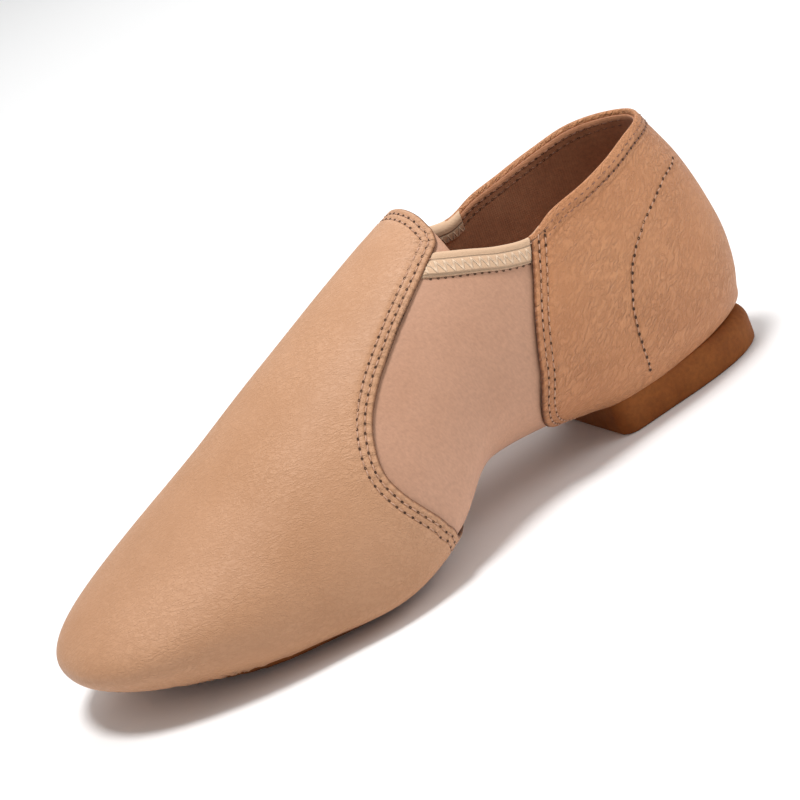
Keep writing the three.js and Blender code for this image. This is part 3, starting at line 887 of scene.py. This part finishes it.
def studs(name, outline, centre, rim, face):
    """Small four-sided studs in a slanting grid, inside an outline's rim."""
    deselect()
    bpy.ops.mesh.primitive_cone_add(vertices=4, radius1=1, radius2=0.12, depth=1)
    cone = bpy.context.object
    cone.name = "stud_shape"
    away = outline - centre
    turn = np.arctan2(away[:, 1], away[:, 0])
    order = np.argsort(turn)
    reach = np.linalg.norm(away, axis=1)[order]
    rows = np.arange(-60, 61)
    x, y = np.meshgrid(rows * STUD_LENGTH / 2, rows * STUD_WIDTH / 2, indexing="ij")
    odd = (np.add.outer(rows, rows) % 2).astype(bool)
    spots = np.stack([x[~odd], y[~odd]], -1)
    here = np.arctan2(spots[:, 1], spots[:, 0])
    limit = np.interp(here, turn[order], reach, period=2 * math.pi) - rim - 0.8
    spots = spots[np.linalg.norm(spots, axis=1) < limit] + centre
    base = face(spots) + TREAD_DEPTH
    frames = np.zeros((len(spots), 3, 4))
    frames[:, 0, 0] = STUD_LENGTH * STUD_SHARE / 1000
    frames[:, 1, 1] = -STUD_WIDTH * STUD_SHARE / 1000
    frames[:, 2, 2] = -(TREAD_DEPTH + 0.05) / 1000
    middle = np.concatenate([spots, (base - TREAD_DEPTH / 2 + 0.05)[:, None]], -1)
    frames[:, :, 3] = metres(middle)
    piece = from_copies(name, cone.data, frames)
    bpy.data.objects.remove(cone)
    return piece


def sock():
    """The thin sock on the inside of the underside, turned up a little at its edges."""
    d = -LEATHER - GAP - BODY_WALL - GAP
    x = np.concatenate([
        HEEL_ROUND * (1 - np.cos(np.pi / 2 * np.linspace(0.24, 1, 14))),
        np.linspace(HEEL_ROUND, LENGTH - TOE_ROUND, 60)[1:-1],
        LENGTH - TOE_ROUND * (1 - np.sin(np.pi / 2 * np.linspace(0, 0.84, 14))),
    ])
    turn = np.linspace(225, 315, 41)
    points = last_point(x[:, None], turn[None, :], d - INSOLE_THICKNESS)
    piece = laid_grid("sock", points)
    sewn_up(piece)
    outward(piece, (last_point(120.0, 270.0, d - INSOLE_THICKNESS), (0, 0, 1)))
    return thickened(piece, INSOLE_THICKNESS - 0.2)


# Threads and needle holes

def stitch_shape():
    """One stitch: a short round thread, bowed so that its ends go down into the holes."""
    deselect()
    bpy.ops.mesh.primitive_uv_sphere_add(segments=8, ring_count=7, radius=1)
    ball = bpy.context.object
    ball.name = "stitch_shape"
    mesh = ball.data
    for v in mesh.vertices:
        z = v.co.z
        stretch = math.copysign(abs(z) ** 0.8, z)
        v.co = Vector((stretch, v.co.x, v.co.y - 0.9 * stretch * stretch))
    shape = mesh.copy()
    bpy.data.objects.remove(ball)
    return shape


def hole_shape():
    """One needle hole: a small sunk disc."""
    deselect()
    bpy.ops.mesh.primitive_circle_add(vertices=9, radius=1, fill_type="TRIFAN")
    disc = bpy.context.object
    disc.name = "hole_shape"
    for v in disc.data.vertices:
        away = math.hypot(v.co.x, v.co.y)
        v.co.z = -0.35 * (1 - away)
    shape = disc.data.copy()
    bpy.data.objects.remove(disc)
    return shape


def shifted_line(x, degrees, shift):
    """A line on the last moved sideways over its surface by shift, in millimetres."""
    along = unit(np.gradient(last_point(x, degrees), axis=0))
    side = unit(np.cross(normals_at(x, degrees), along))
    by_x = (last_point(x + 0.05, degrees) - last_point(x - 0.05, degrees)) / 0.1
    by_turn = (last_point(x, degrees + 0.05) - last_point(x, degrees - 0.05)) / 0.1
    a = np.sum(by_x * by_x, 1)
    b = np.sum(by_x * by_turn, 1)
    c = np.sum(by_turn * by_turn, 1)
    e = np.sum(by_x * side, 1) * shift
    f = np.sum(by_turn * side, 1) * shift
    det = a * c - b * b
    return x + (c * e - b * f) / det, degrees + (a * f - b * e) / det


def stitch_places(x, degrees, d, pitch, offset):
    """Frames for stitches laid evenly along a line on the last, at growth d."""
    place = last_point(x, degrees, d)
    size = run_length(place)
    middles = np.arange(pitch * (0.5 + offset), size[-1], pitch)
    mid_x = np.interp(middles, size, x)
    mid_turn = np.interp(middles, size, degrees)
    spot = last_point(mid_x, mid_turn, np.interp(middles, size, np.broadcast_to(d, x.shape)))
    ahead, behind = (
        np.stack([np.interp(middles + step, size, place[:, k]) for k in range(3)], -1)
        for step in (0.5, -0.5)
    )
    along = unit(ahead - behind)
    side = unit(np.cross(normals_at(mid_x, mid_turn), along))
    return spot, along, side, np.cross(along, side)


rng = np.random.default_rng(5)
thread_places = {"light": [], "dark": []}
hole_places = []


def sew(x, degrees, d, pitch=PITCH, length=STITCH_LENGTH, thick=THREAD, sunk=0.0, hole=0.40,
        offset=0.0, tone="light", inside=False):
    """Lays a row of stitches and its needle holes along a line."""
    spot, along, side, normal = stitch_places(x, degrees, d, pitch, offset)
    if inside:
        side = -side
        normal = -normal
    lean = rng.normal(0, 0.07, len(spot))[:, None]
    turned = unit(along + side * lean)
    across = np.cross(normal, turned)
    half = length / 2 * (1 + rng.normal(0, 0.05, len(spot)))[:, None]
    frames = np.stack([turned * half, across * thick / 2, normal * thick / 2], 2)
    centre = metres(spot + normal * (thick * 0.30 - sunk))
    thread_places[tone].append(np.concatenate([frames / 1000, centre[:, :, None]], 2))
    ends = np.concatenate([spot + along * pitch / 2, spot[:1] - along[:1] * pitch / 2])
    t, s, n = (np.concatenate([way, way[:1]]) for way in (along, side, normal))
    frames = np.stack([t * hole * 1.15, s * hole, n * hole], 2)
    centre = metres(ends + n * 0.10)
    hole_places.append(np.concatenate([frames / 1000, centre[:, :, None]], 2))


def lay_stitches():
    """All rows of stitches that the shoe shows."""
    x = np.linspace(69.0, 121.0, 300)
    sew(x, np.full(len(x), -90.0), -LEATHER - GAP - 0.05, pitch=2.4, length=2.1, thick=0.6,
        hole=0.45, tone="dark")
    edge_x = edge_at(VAMP_EDGE, vamp_angles)
    for row, shift in enumerate((FIRST_ROW, SECOND_ROW)):
        x, turned = shifted_line(edge_x, vamp_angles, shift)
        sew(x, turned, -SEWN_IN, offset=STAGGER * row)
    for side in (1, -1):
        turned = on_side(quarter_degrees, side)
        for row, shift in enumerate((FIRST_ROW, SECOND_ROW)):
            x, moved = shifted_line(quarter_x, turned, -side * shift)
            sew(x, moved, -SEWN_IN, offset=STAGGER * row)
        x = 0.06 + 66.0 * np.linspace(0, 1, 700) ** 2.5
        for row, drop in enumerate(COLLAR_ROWS):
            sew(x, below_collar(x, drop, side), -0.06, pitch=2.6, length=1.75,
                offset=STAGGER * row, tone="dark")
        x, z = counter_line(400).T
        x = x - back_inset(x, z)
        sew(x, on_side(angle_at(x, z), side), 0.0, pitch=2.7, length=1.7, thick=0.42, sunk=0.05,
            hole=0.5)
        x = np.linspace(BREAST + 0.5, TAB_EDGE + 9, 300)
        top = below_collar(x, 2.1, side)
        room = x < edge_at(VAMP_EDGE, top) - 0.5
        sew(x[room], top[room], -0.5, pitch=2.2, length=1.5, thick=0.36, hole=0.3)
        low = below_collar(x, BINDING_HEIGHT + 0.5, side)
        room = (x < edge_at(VAMP_EDGE, low) - 0.5) & (x > edge_at(QUARTER_EDGE, low) + 0.5)
        sew(x[room], low[room], -1.32, pitch=2.2, length=1.4, thick=0.3, sunk=0.1, hole=0.36)
        x = 1.0 + 66.0 * np.linspace(0, 1, 700) ** 2
        for row, drop in enumerate(INSIDE_ROWS):
            sew(x, below_collar(x, drop, side), -2.5, pitch=2.6, length=1.75, thick=0.45,
                offset=STAGGER * row, tone="dark", inside=True)


# Materials

def new_material(name):
    """A material, its nodes and its shader."""
    material = bpy.data.materials.new(name)
    material.use_nodes = True
    tree = material.node_tree
    shader = tree.nodes["Principled BSDF"]
    return material, tree, shader


def node(tree, kind, **values):
    """A new node with its sockets or its settings filled in."""
    made = tree.nodes.new(kind)
    for key, value in values.items():
        if key in made.inputs:
            made.inputs[key].default_value = value
        else:
            setattr(made, key, value)
    return made


def wire(tree, source, target):
    tree.links.new(source, target)


def placed(tree, turn=(0, 0, 0)):
    """Object places, turned."""
    where = node(tree, "ShaderNodeTexCoord").outputs["Object"]
    return pattern(tree, "ShaderNodeMapping", where, "Vector",
                   Rotation=[math.radians(a) for a in turn])


def pattern(tree, kind, vector, output, **values):
    """A node that reads places, and its output."""
    made = node(tree, kind, **values)
    wire(tree, vector, made.inputs["Vector"])
    return made.outputs[output]


def noise(tree, vector, scale, detail=3.0, rough=0.5):
    return pattern(tree, "ShaderNodeTexNoise", vector, "Fac", Scale=scale, Detail=detail,
                   Roughness=rough)


def cells(tree, vector, scale, feature="F1"):
    """A cell pattern: how far a place lies from a cell's middle or from its edge."""
    return pattern(tree, "ShaderNodeTexVoronoi", vector, "Distance", feature=feature,
                   Scale=scale)


def bands(tree, vector, scale, direction):
    """Soft stripes along one direction."""
    return pattern(tree, "ShaderNodeTexWave", vector, "Fac", wave_type="BANDS",
                   bands_direction=direction, Scale=scale)


def split(tree, vector):
    """The three parts of a vector."""
    parts = node(tree, "ShaderNodeSeparateXYZ")
    wire(tree, vector, parts.inputs["Vector"])
    return parts.outputs


def ramp(tree, value, stops):
    """A colour from a value, between two stops."""
    made = node(tree, "ShaderNodeValToRGB")
    for element, (place, colour) in zip(made.color_ramp.elements, stops):
        element.position = place
        element.color = (*colour, 1)
    wire(tree, value, made.inputs["Fac"])
    return made.outputs["Color"]


def level(tree, value, low, high, to_low=0.0, to_high=1.0):
    """A value moved from one range to another and held within it."""
    made = node(tree, "ShaderNodeMapRange")
    ends = {"From Min": low, "From Max": high, "To Min": to_low, "To Max": to_high}
    for key, limit in ends.items():
        made.inputs[key].default_value = limit
    wire(tree, value, made.inputs["Value"])
    return made.outputs["Result"]


def maths(tree, kind, a, b=None):
    """A reckoning with one or two values, each a number or a socket."""
    made = node(tree, "ShaderNodeMath", operation=kind)
    for k, value in enumerate((a, b)):
        if isinstance(value, (int, float)):
            made.inputs[k].default_value = value
        elif value is not None:
            wire(tree, value, made.inputs[k])
    return made.outputs["Value"]


def times(tree, a, b):
    return maths(tree, "MULTIPLY", a, b)


def plus(tree, a, b):
    return maths(tree, "ADD", a, b)


def shaded(tree, tone, shade, powers=(1.0, 1.0, 1.0)):
    """A colour times a shade, which turns browner as it darkens where the powers differ."""
    grey = node(tree, "ShaderNodeCombineColor")
    for k, power in enumerate(powers):
        part = shade if power == 1.0 else maths(tree, "POWER", shade, power)
        wire(tree, part, grey.inputs[k])
    made = node(tree, "ShaderNodeMix", data_type="RGBA", blend_type="MULTIPLY")
    made.inputs[0].default_value = 1.0
    wire(tree, tone, made.inputs[6])
    wire(tree, grey.outputs["Color"], made.inputs[7])
    return made.outputs[2]


def bumped(tree, height, distance, before=None):
    """A bump of a height, in metres, laid over the one before."""
    made = node(tree, "ShaderNodeBump", Strength=1.0, Distance=distance)
    wire(tree, height, made.inputs["Height"])
    if before is not None:
        wire(tree, before, made.inputs["Normal"])
    return made.outputs["Normal"]


def finished(tree, shader, tone, normal, rough, **sockets):
    """Joins colour and bump to the shader and sets its other sockets."""
    wire(tree, tone, shader.inputs["Base Color"])
    if normal is not None:
        wire(tree, normal, shader.inputs["Normal"])
    if isinstance(rough, float):
        shader.inputs["Roughness"].default_value = rough
    else:
        wire(tree, rough, shader.inputs["Roughness"])
    for name, value in sockets.items():
        shader.inputs[name.replace("_", " ")].default_value = value


def slanted(tree, turn, stretch):
    """Object places turned first and stretched after, so that a grain can run aslant."""
    return pattern(tree, "ShaderNodeMapping", placed(tree, turn), "Vector", Scale=stretch)


def swayed(tree, vector, scale, amount):
    """A vector pushed about by a soft noise."""
    sway = pattern(tree, "ShaderNodeTexNoise", vector, "Color", Scale=scale, Detail=2.0)
    made = node(tree, "ShaderNodeVectorMath", operation="MULTIPLY_ADD")
    wire(tree, sway, made.inputs[0])
    made.inputs[1].default_value = (amount, amount, amount)
    wire(tree, vector, made.inputs[2])
    return made.outputs["Vector"]


def creased(tree, vector, scale, width):
    """Soft pads parted by narrow creases: 0 in a crease, 1 on a pad."""
    value = noise(tree, vector, scale, 2.0, 0.55)
    off = maths(tree, "ABSOLUTE", maths(tree, "SUBTRACT", value, 0.5))
    return maths(tree, "POWER", level(tree, off, 0.0, width), 0.7)


def leather_material(name, light, dark, grain, pad_scale, pad_width, depth, turn, long, valley):
    """Soft leather: slanting pads between creases, fine grain, cut edges and drawn-in rows; painted
    shade darkens the creases, the cut edges, the rows and the lower parts.
    """
    material, tree, shader = new_material(name)
    straight = placed(tree)
    lay = swayed(tree, slanted(tree, turn, (long, 1.0, 1.0)), 260.0, 0.0016)
    pads = creased(tree, lay, pad_scale, pad_width)
    small = creased(tree, lay, pad_scale * 2.1, pad_width * 1.2)
    bent = swayed(tree, straight, grain * 0.4, 1.0 / grain)
    pebble = level(tree, cells(tree, bent, grain, "DISTANCE_TO_EDGE"), 0.0, 0.3)
    pores = noise(tree, straight, grain * 2.4, 2.0)
    height = plus(tree, times(tree, pads, 0.70), times(tree, small, 0.30))
    region = noise(tree, straight, 34.0, 3.0)
    height = times(tree, height, level(tree, region, 0.35, 0.65, 0.60, 1.15))
    fine = plus(tree, times(tree, pebble, 0.5), times(tree, pores, 0.5))
    normal = bumped(tree, height, depth)
    normal = bumped(tree, fine, 0.00009, normal)
    normal = bumped(tree, noise(tree, straight, 42.0, 3.0), 0.0009, normal)
    tone = ramp(tree, noise(tree, straight, 24.0, 4.0, 0.55), [(0.32, dark), (0.68, light)])
    # Painted shade: the leather is darkened in the creases between its pads, down to the valley
    # value.
    shade = level(tree, height, 0.25, 1.0, valley, 1.03)
    # Painted shade: the leather turns darker towards the bottom of the shoe.
    low = level(tree, split(tree, straight)["Z"], 0.004, 0.055, 0.88, 1.03)
    shade = times(tree, shade, low)
    seam = split(tree, node(tree, "ShaderNodeUVMap", uv_map="seam").outputs["UV"])
    away = seam["Y"]
    # Painted shade along the cut edge, where the leather turns down to it.
    cut = level(tree, away, 0.00015, 0.00075, 0.34, 1.0)
    # Painted shade in the troughs of the two stitch rows, where the thread draws the leather in.
    first_row_shade = pulse(tree, away, FIRST_ROW / 1000, 0.0006)
    second_row_shade = pulse(tree, away, SECOND_ROW / 1000, 0.0006)
    rows = level(tree, maths(tree, "MAXIMUM", first_row_shade, second_row_shade), 0.0, 1.0, 1.0, 0.82)
    shade = times(tree, shade, times(tree, cut, rows))
    tone = shaded(tree, tone, shade, (1.0, 1.25, 1.5))
    pucker = maths(tree, "SINE", times(tree, seam["X"], 2 * math.pi / (PITCH / 1000)))
    reach = level(tree, away, 0.0, 0.0085, 1.0, 0.0)
    normal = bumped(tree, times(tree, pucker, reach), 0.00018, normal)
    finished(tree, shader, tone, normal, level(tree, height, 0.2, 1.2, 0.62, 0.42),
             Specular_IOR_Level=0.42, Sheen_Weight=0.06, Sheen_Roughness=0.4,
             Sheen_Tint=(1.0, 0.86, 0.80, 1), Coat_Weight=0.08, Coat_Roughness=0.36)
    return material


def pulse(tree, value, centre, width):
    """1 at centre, falling to 0 a width away."""
    off = maths(tree, "ABSOLUTE", maths(tree, "SUBTRACT", value, centre))
    return level(tree, off, 0.0, width, 1.0, 0.0)


def stretch_material():
    """Satin stretch knit: pinkish tan, finely specked, with a soft sheen."""
    material, tree, shader = new_material("stretch_knit")
    straight = placed(tree)
    loops = noise(tree, slanted(tree, (0, -20, 0), (1.0, 1.0, 0.5)), 1500.0, 2.0)
    specks = noise(tree, straight, 700.0, 3.0, 0.6)
    height = plus(tree, loops, times(tree, specks, 0.8))
    normal = bumped(tree, height, 0.00007)
    normal = bumped(tree, noise(tree, straight, 30.0, 2.0), 0.0008, normal)
    tone = ramp(tree, noise(tree, straight, 26.0, 4.0, 0.6),
                [(0.3, (0.515, 0.275, 0.172)), (0.7, (0.57, 0.315, 0.205))])
    tone = shaded(tree, tone, level(tree, height, 0.6, 1.2, 0.90, 1.06))
    finished(tree, shader, tone, normal, 0.5, Specular_IOR_Level=0.35, Sheen_Weight=0.18,
             Sheen_Roughness=0.35, Sheen_Tint=(1.0, 0.80, 0.70, 1))
    return material


def lining_material(name, light, dark):
    """Brushed brown cloth with a small weave."""
    material, tree, shader = new_material(name)
    straight = placed(tree)
    weave = times(tree, bands(tree, straight, 420.0, "X"), bands(tree, straight, 420.0, "Z"))
    nap = noise(tree, straight, 900.0, 4.0, 0.6)
    normal = bumped(tree, plus(tree, times(tree, weave, 0.4), nap), 0.00012)
    normal = bumped(tree, noise(tree, straight, 55.0, 3.0), 0.0008, normal)
    tone = ramp(tree, noise(tree, straight, 60.0, 5.0, 0.6), [(0.3, dark), (0.72, light)])
    tone = shaded(tree, tone, level(tree, nap, 0.3, 0.7, 0.82, 1.08))
    finished(tree, shader, tone, normal, 0.9, Sheen_Weight=0.25, Specular_IOR_Level=0.2)
    return material


def elastic_material():
    """Elastic with a plain folded edge and, below it, a raised zigzag band between two grooves
    darkened with painted shade.
    """
    material, tree, shader = new_material("elastic_rib")
    lay = split(tree, node(tree, "ShaderNodeUVMap", uv_map="weave").outputs["UV"])
    middle = plus(tree, lay["Y"], 0.0045)
    swing = maths(tree, "SINE", times(tree, lay["X"], 2 * math.pi / 0.0023))
    off = maths(tree, "SUBTRACT", middle, times(tree, swing, 0.0011))
    cord = level(tree, maths(tree, "ABSOLUTE", off), 0.0, 0.0009, 1.0, 0.0)
    cord = times(tree, cord, level(tree, pulse(tree, middle, 0.0, 0.0019), 0.0, 0.15))
    shaded_groove = maths(tree, "MAXIMUM", pulse(tree, middle, 0.0020, 0.0004),
                   pulse(tree, middle, -0.0021, 0.0004))
    fine = noise(tree, placed(tree), 1500.0, 2.0)
    height = plus(tree, times(tree, cord, 0.8), times(tree, fine, 0.3))
    height = maths(tree, "SUBTRACT", height, times(tree, shaded_groove, 0.7))
    tone = ramp(tree, cord, [(0.0, (0.70, 0.46, 0.29)), (0.9, (0.86, 0.63, 0.44))])
    # Painted shade: the elastic is darkened in the two grooves beside the zigzag band.
    tone = shaded(tree, tone, level(tree, shaded_groove, 0.0, 1.0, 1.0, 0.58))
    finished(tree, shader, tone, bumped(tree, height, 0.00040), 0.72, Sheen_Weight=0.2)
    return material


def rubber_material(name, light, dark):
    """Caramel crepe-like rubber, matt, a little mottled."""
    material, tree, shader = new_material(name)
    straight = placed(tree)
    grain = noise(tree, straight, 700.0, 4.0, 0.6)
    pits = cells(tree, straight, 520.0)
    normal = bumped(tree, plus(tree, grain, times(tree, pits, 0.3)), 0.00010)
    normal = bumped(tree, noise(tree, straight, 60.0, 3.0), 0.0003, normal)
    tone = ramp(tree, noise(tree, straight, 95.0, 6.0, 0.62), [(0.28, dark), (0.72, light)])
    tone = shaded(tree, tone, level(tree, grain, 0.35, 0.65, 0.86, 1.06))
    finished(tree, shader, tone, normal, 0.72, Specular_IOR_Level=0.2)
    return material


def thread_material(name, light, dark):
    """Twisted thread."""
    material, tree, shader = new_material(name)
    straight = placed(tree)
    tone = ramp(tree, noise(tree, straight, 160.0, 2.0), [(0.3, dark), (0.7, light)])
    normal = bumped(tree, bands(tree, straight, 900.0, "DIAGONAL"), 0.00008)
    finished(tree, shader, tone, normal, 0.55, Sheen_Weight=0.2)
    return material


def hole_material():
    """The inside of a needle hole, painted near-black as shade."""
    material, tree, shader = new_material("needle_hole")
    # Painted shade: near-black where the hole's inside would lie in shade.
    tone = ramp(tree, noise(tree, placed(tree), 900.0, 2.0),
                [(0.3, (0.045, 0.018, 0.009)), (0.7, (0.10, 0.045, 0.022))])
    finished(tree, shader, tone, None, 0.9)
    return material


def dressed(piece, material):
    """Gives a piece its one material."""
    piece.data.materials.clear()
    piece.data.materials.append(material)


# Dressing the part

vamp = vamp_leather()
quarter = quarter_leather()
body = body_sheet("stretch_body", -LEATHER - GAP, BODY_SHEET, BODY_BELOW_COLLAR,
                  GUSSET_FOLDS)
lining = body_sheet("lining", -LEATHER - GAP - 0.65, LINING_SHEET, LINING_BELOW_COLLAR)
binding_outer = binding(1, "elastic_outer")
binding_inner = binding(-1, "elastic_inner")
patch = forefoot_patch(ceiling(vamp))
block = heel_block(ceiling(quarter))
patch_studs = studs("forefoot_studs", patch_outline(), PATCH_CENTRE, PATCH_RIM + 2.4, patch_low)
heel_studs = studs("heel_studs", heel_outline(), HEEL_CENTRE, HEEL_RIM,
                   lambda spots: np.zeros(len(spots)))
inner_sock = sock()

lay_stitches()
stitch = stitch_shape()
hole = hole_shape()
threads = from_copies("threads", stitch, np.concatenate(thread_places["light"]))
dark_threads = from_copies("collar_threads", stitch, np.concatenate(thread_places["dark"]))
holes = from_copies("needle_holes", hole, np.concatenate(hole_places))
for small in (threads, dark_threads, holes):
    choose(small)
    bpy.ops.object.shade_smooth()

# The last number of each leather sets how dark the painted shade in its creases goes.
vamp_skin = leather_material(
    "vamp_leather", (0.60, 0.325, 0.182), (0.53, 0.272, 0.139), 1500.0, 760.0, 0.14,
    0.00012, (0, 0, 34), 0.45, 0.93)
quarter_skin = leather_material(
    "quarter_leather", (0.65, 0.298, 0.135), (0.55, 0.232, 0.096), 1200.0, 600.0, 0.16,
    0.00050, (0, -32, 0), 0.42, 0.86)
caramel = rubber_material("caramel_rubber", (0.28, 0.090, 0.018), (0.20, 0.054, 0.009))
worn = rubber_material("worn_rubber", (0.42, 0.17, 0.05), (0.32, 0.115, 0.028))

elastic = elastic_material()
lining_cloth = lining_material("lining_cloth", (0.56, 0.26, 0.135), (0.40, 0.165, 0.08))
sock_cloth = lining_material("sock_cloth", (0.42, 0.20, 0.11), (0.32, 0.14, 0.072))
thread = thread_material("thread", (0.66, 0.39, 0.26), (0.50, 0.27, 0.16))
dark_thread = thread_material("collar_thread", (0.30, 0.125, 0.06), (0.20, 0.08, 0.038))

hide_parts("vamp")
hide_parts("quarter")
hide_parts("upper")
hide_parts("upper")
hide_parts("binding_lateral")
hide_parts("binding_medial")
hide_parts("forefoot_sole")
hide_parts("heel")
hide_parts("insole")

for piece, material, slot in (
    (vamp, vamp_skin, "leather"), (quarter, quarter_skin, "leather"),
    (body, stretch_material(), "stretch_cloth"), (lining, lining_cloth, "sock_lining"),
    (binding_outer, elastic, "elastic"), (binding_inner, elastic, "elastic"),
    (patch, caramel, "rubber"), (block, caramel, "rubber"),
    (inner_sock, sock_cloth, "sock_lining"), (threads, thread, "elastic"),
    (dark_threads, dark_thread, "elastic"), (holes, hole_material(), "leather"),
    (patch_studs, worn, "rubber"), (heel_studs, worn, "rubber"),
):
    dressed(piece, material)
    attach(piece, "root")


# Floor, light and camera

# Middle of the shoe in the photograph, in its pixels, and how much larger it is shown here
SHOE_MIDDLE = (268.0, 357.0)
FRAMING = 1.3
FRAME_MIDDLE = 400
FOCAL_PIXELS = 2000
SENSOR = 36
FRAME_WIDTH = 800

def studio_floor():
    """A wide sheet of pale paper."""
    deselect()
    bpy.ops.mesh.primitive_plane_add(size=12, location=(0, 0, 0))
    floor = bpy.context.object
    floor.name = "studio_floor"
    material, _, shader = new_material("studio_paper")
    shader.inputs["Base Color"].default_value = (0.94, 0.94, 0.94, 1)
    shader.inputs["Roughness"].default_value = 0.75
    floor.data.materials.append(material)


def soft_light(name, place, size, power):
    """A round lamp that looks at the shoe."""
    lamp = bpy.data.lights.new(name, "AREA")
    lamp.shape = "DISK"
    lamp.size = size
    lamp.energy = power
    holder = bpy.data.objects.new(name, lamp)
    bpy.context.collection.objects.link(holder)
    holder.location = place
    aim = Vector((0.0, 0.0, 0.03)) - Vector(place)
    holder.rotation_euler = aim.to_track_quat("-Z", "Y").to_euler()


def studio():
    """White air, the floor and three lamps."""
    bpy.context.scene.view_settings.view_transform = "Standard"
    studio_floor()
    world = bpy.data.worlds.new("studio_air")
    bpy.context.scene.world = world
    world.use_nodes = True
    air = world.node_tree.nodes["Background"]
    air.inputs["Color"].default_value = (1, 1, 1, 1)
    air.inputs["Strength"].default_value = 0.41
    soft_light("key", (0.12, 0.05, 1.35), 0.40, 14.0)
    soft_light("fill", (-1.0, 0.55, 0.75), 0.7, 4.0)
    soft_light("back", (-0.5, -0.9, 0.8), 0.9, 3.0)


def camera():
    """The photograph's view: its place, and its turn with the shoe brought to the middle."""
    eye = Vector(metres([387.075, 681.440, 322.457]))
    right = Vector((-0.77351, 0.52661, -0.35266))
    down = Vector((0.50464, 0.1751, -0.84539))
    ahead = Vector((-0.38344, -0.83188, -0.40119))
    across, below = ((at - FRAME_MIDDLE) / FOCAL_PIXELS for at in SHOE_MIDDLE)
    centre = ahead + right * across + down * below
    swing = ahead.rotation_difference(centre)
    right.rotate(swing)
    down.rotate(swing)
    ahead.rotate(swing)
    lens = bpy.data.cameras.new("photograph")
    lens.sensor_width = SENSOR
    lens.lens = SENSOR * FOCAL_PIXELS / FRAME_WIDTH * FRAMING
    lens.clip_start = 0.01
    holder = bpy.data.objects.new("photograph", lens)
    bpy.context.collection.objects.link(holder)
    turn = Matrix((right, -down, -ahead)).transposed().to_4x4()
    holder.matrix_world = Matrix.Translation(eye) @ turn
    bpy.context.scene.camera = holder


studio()
camera()
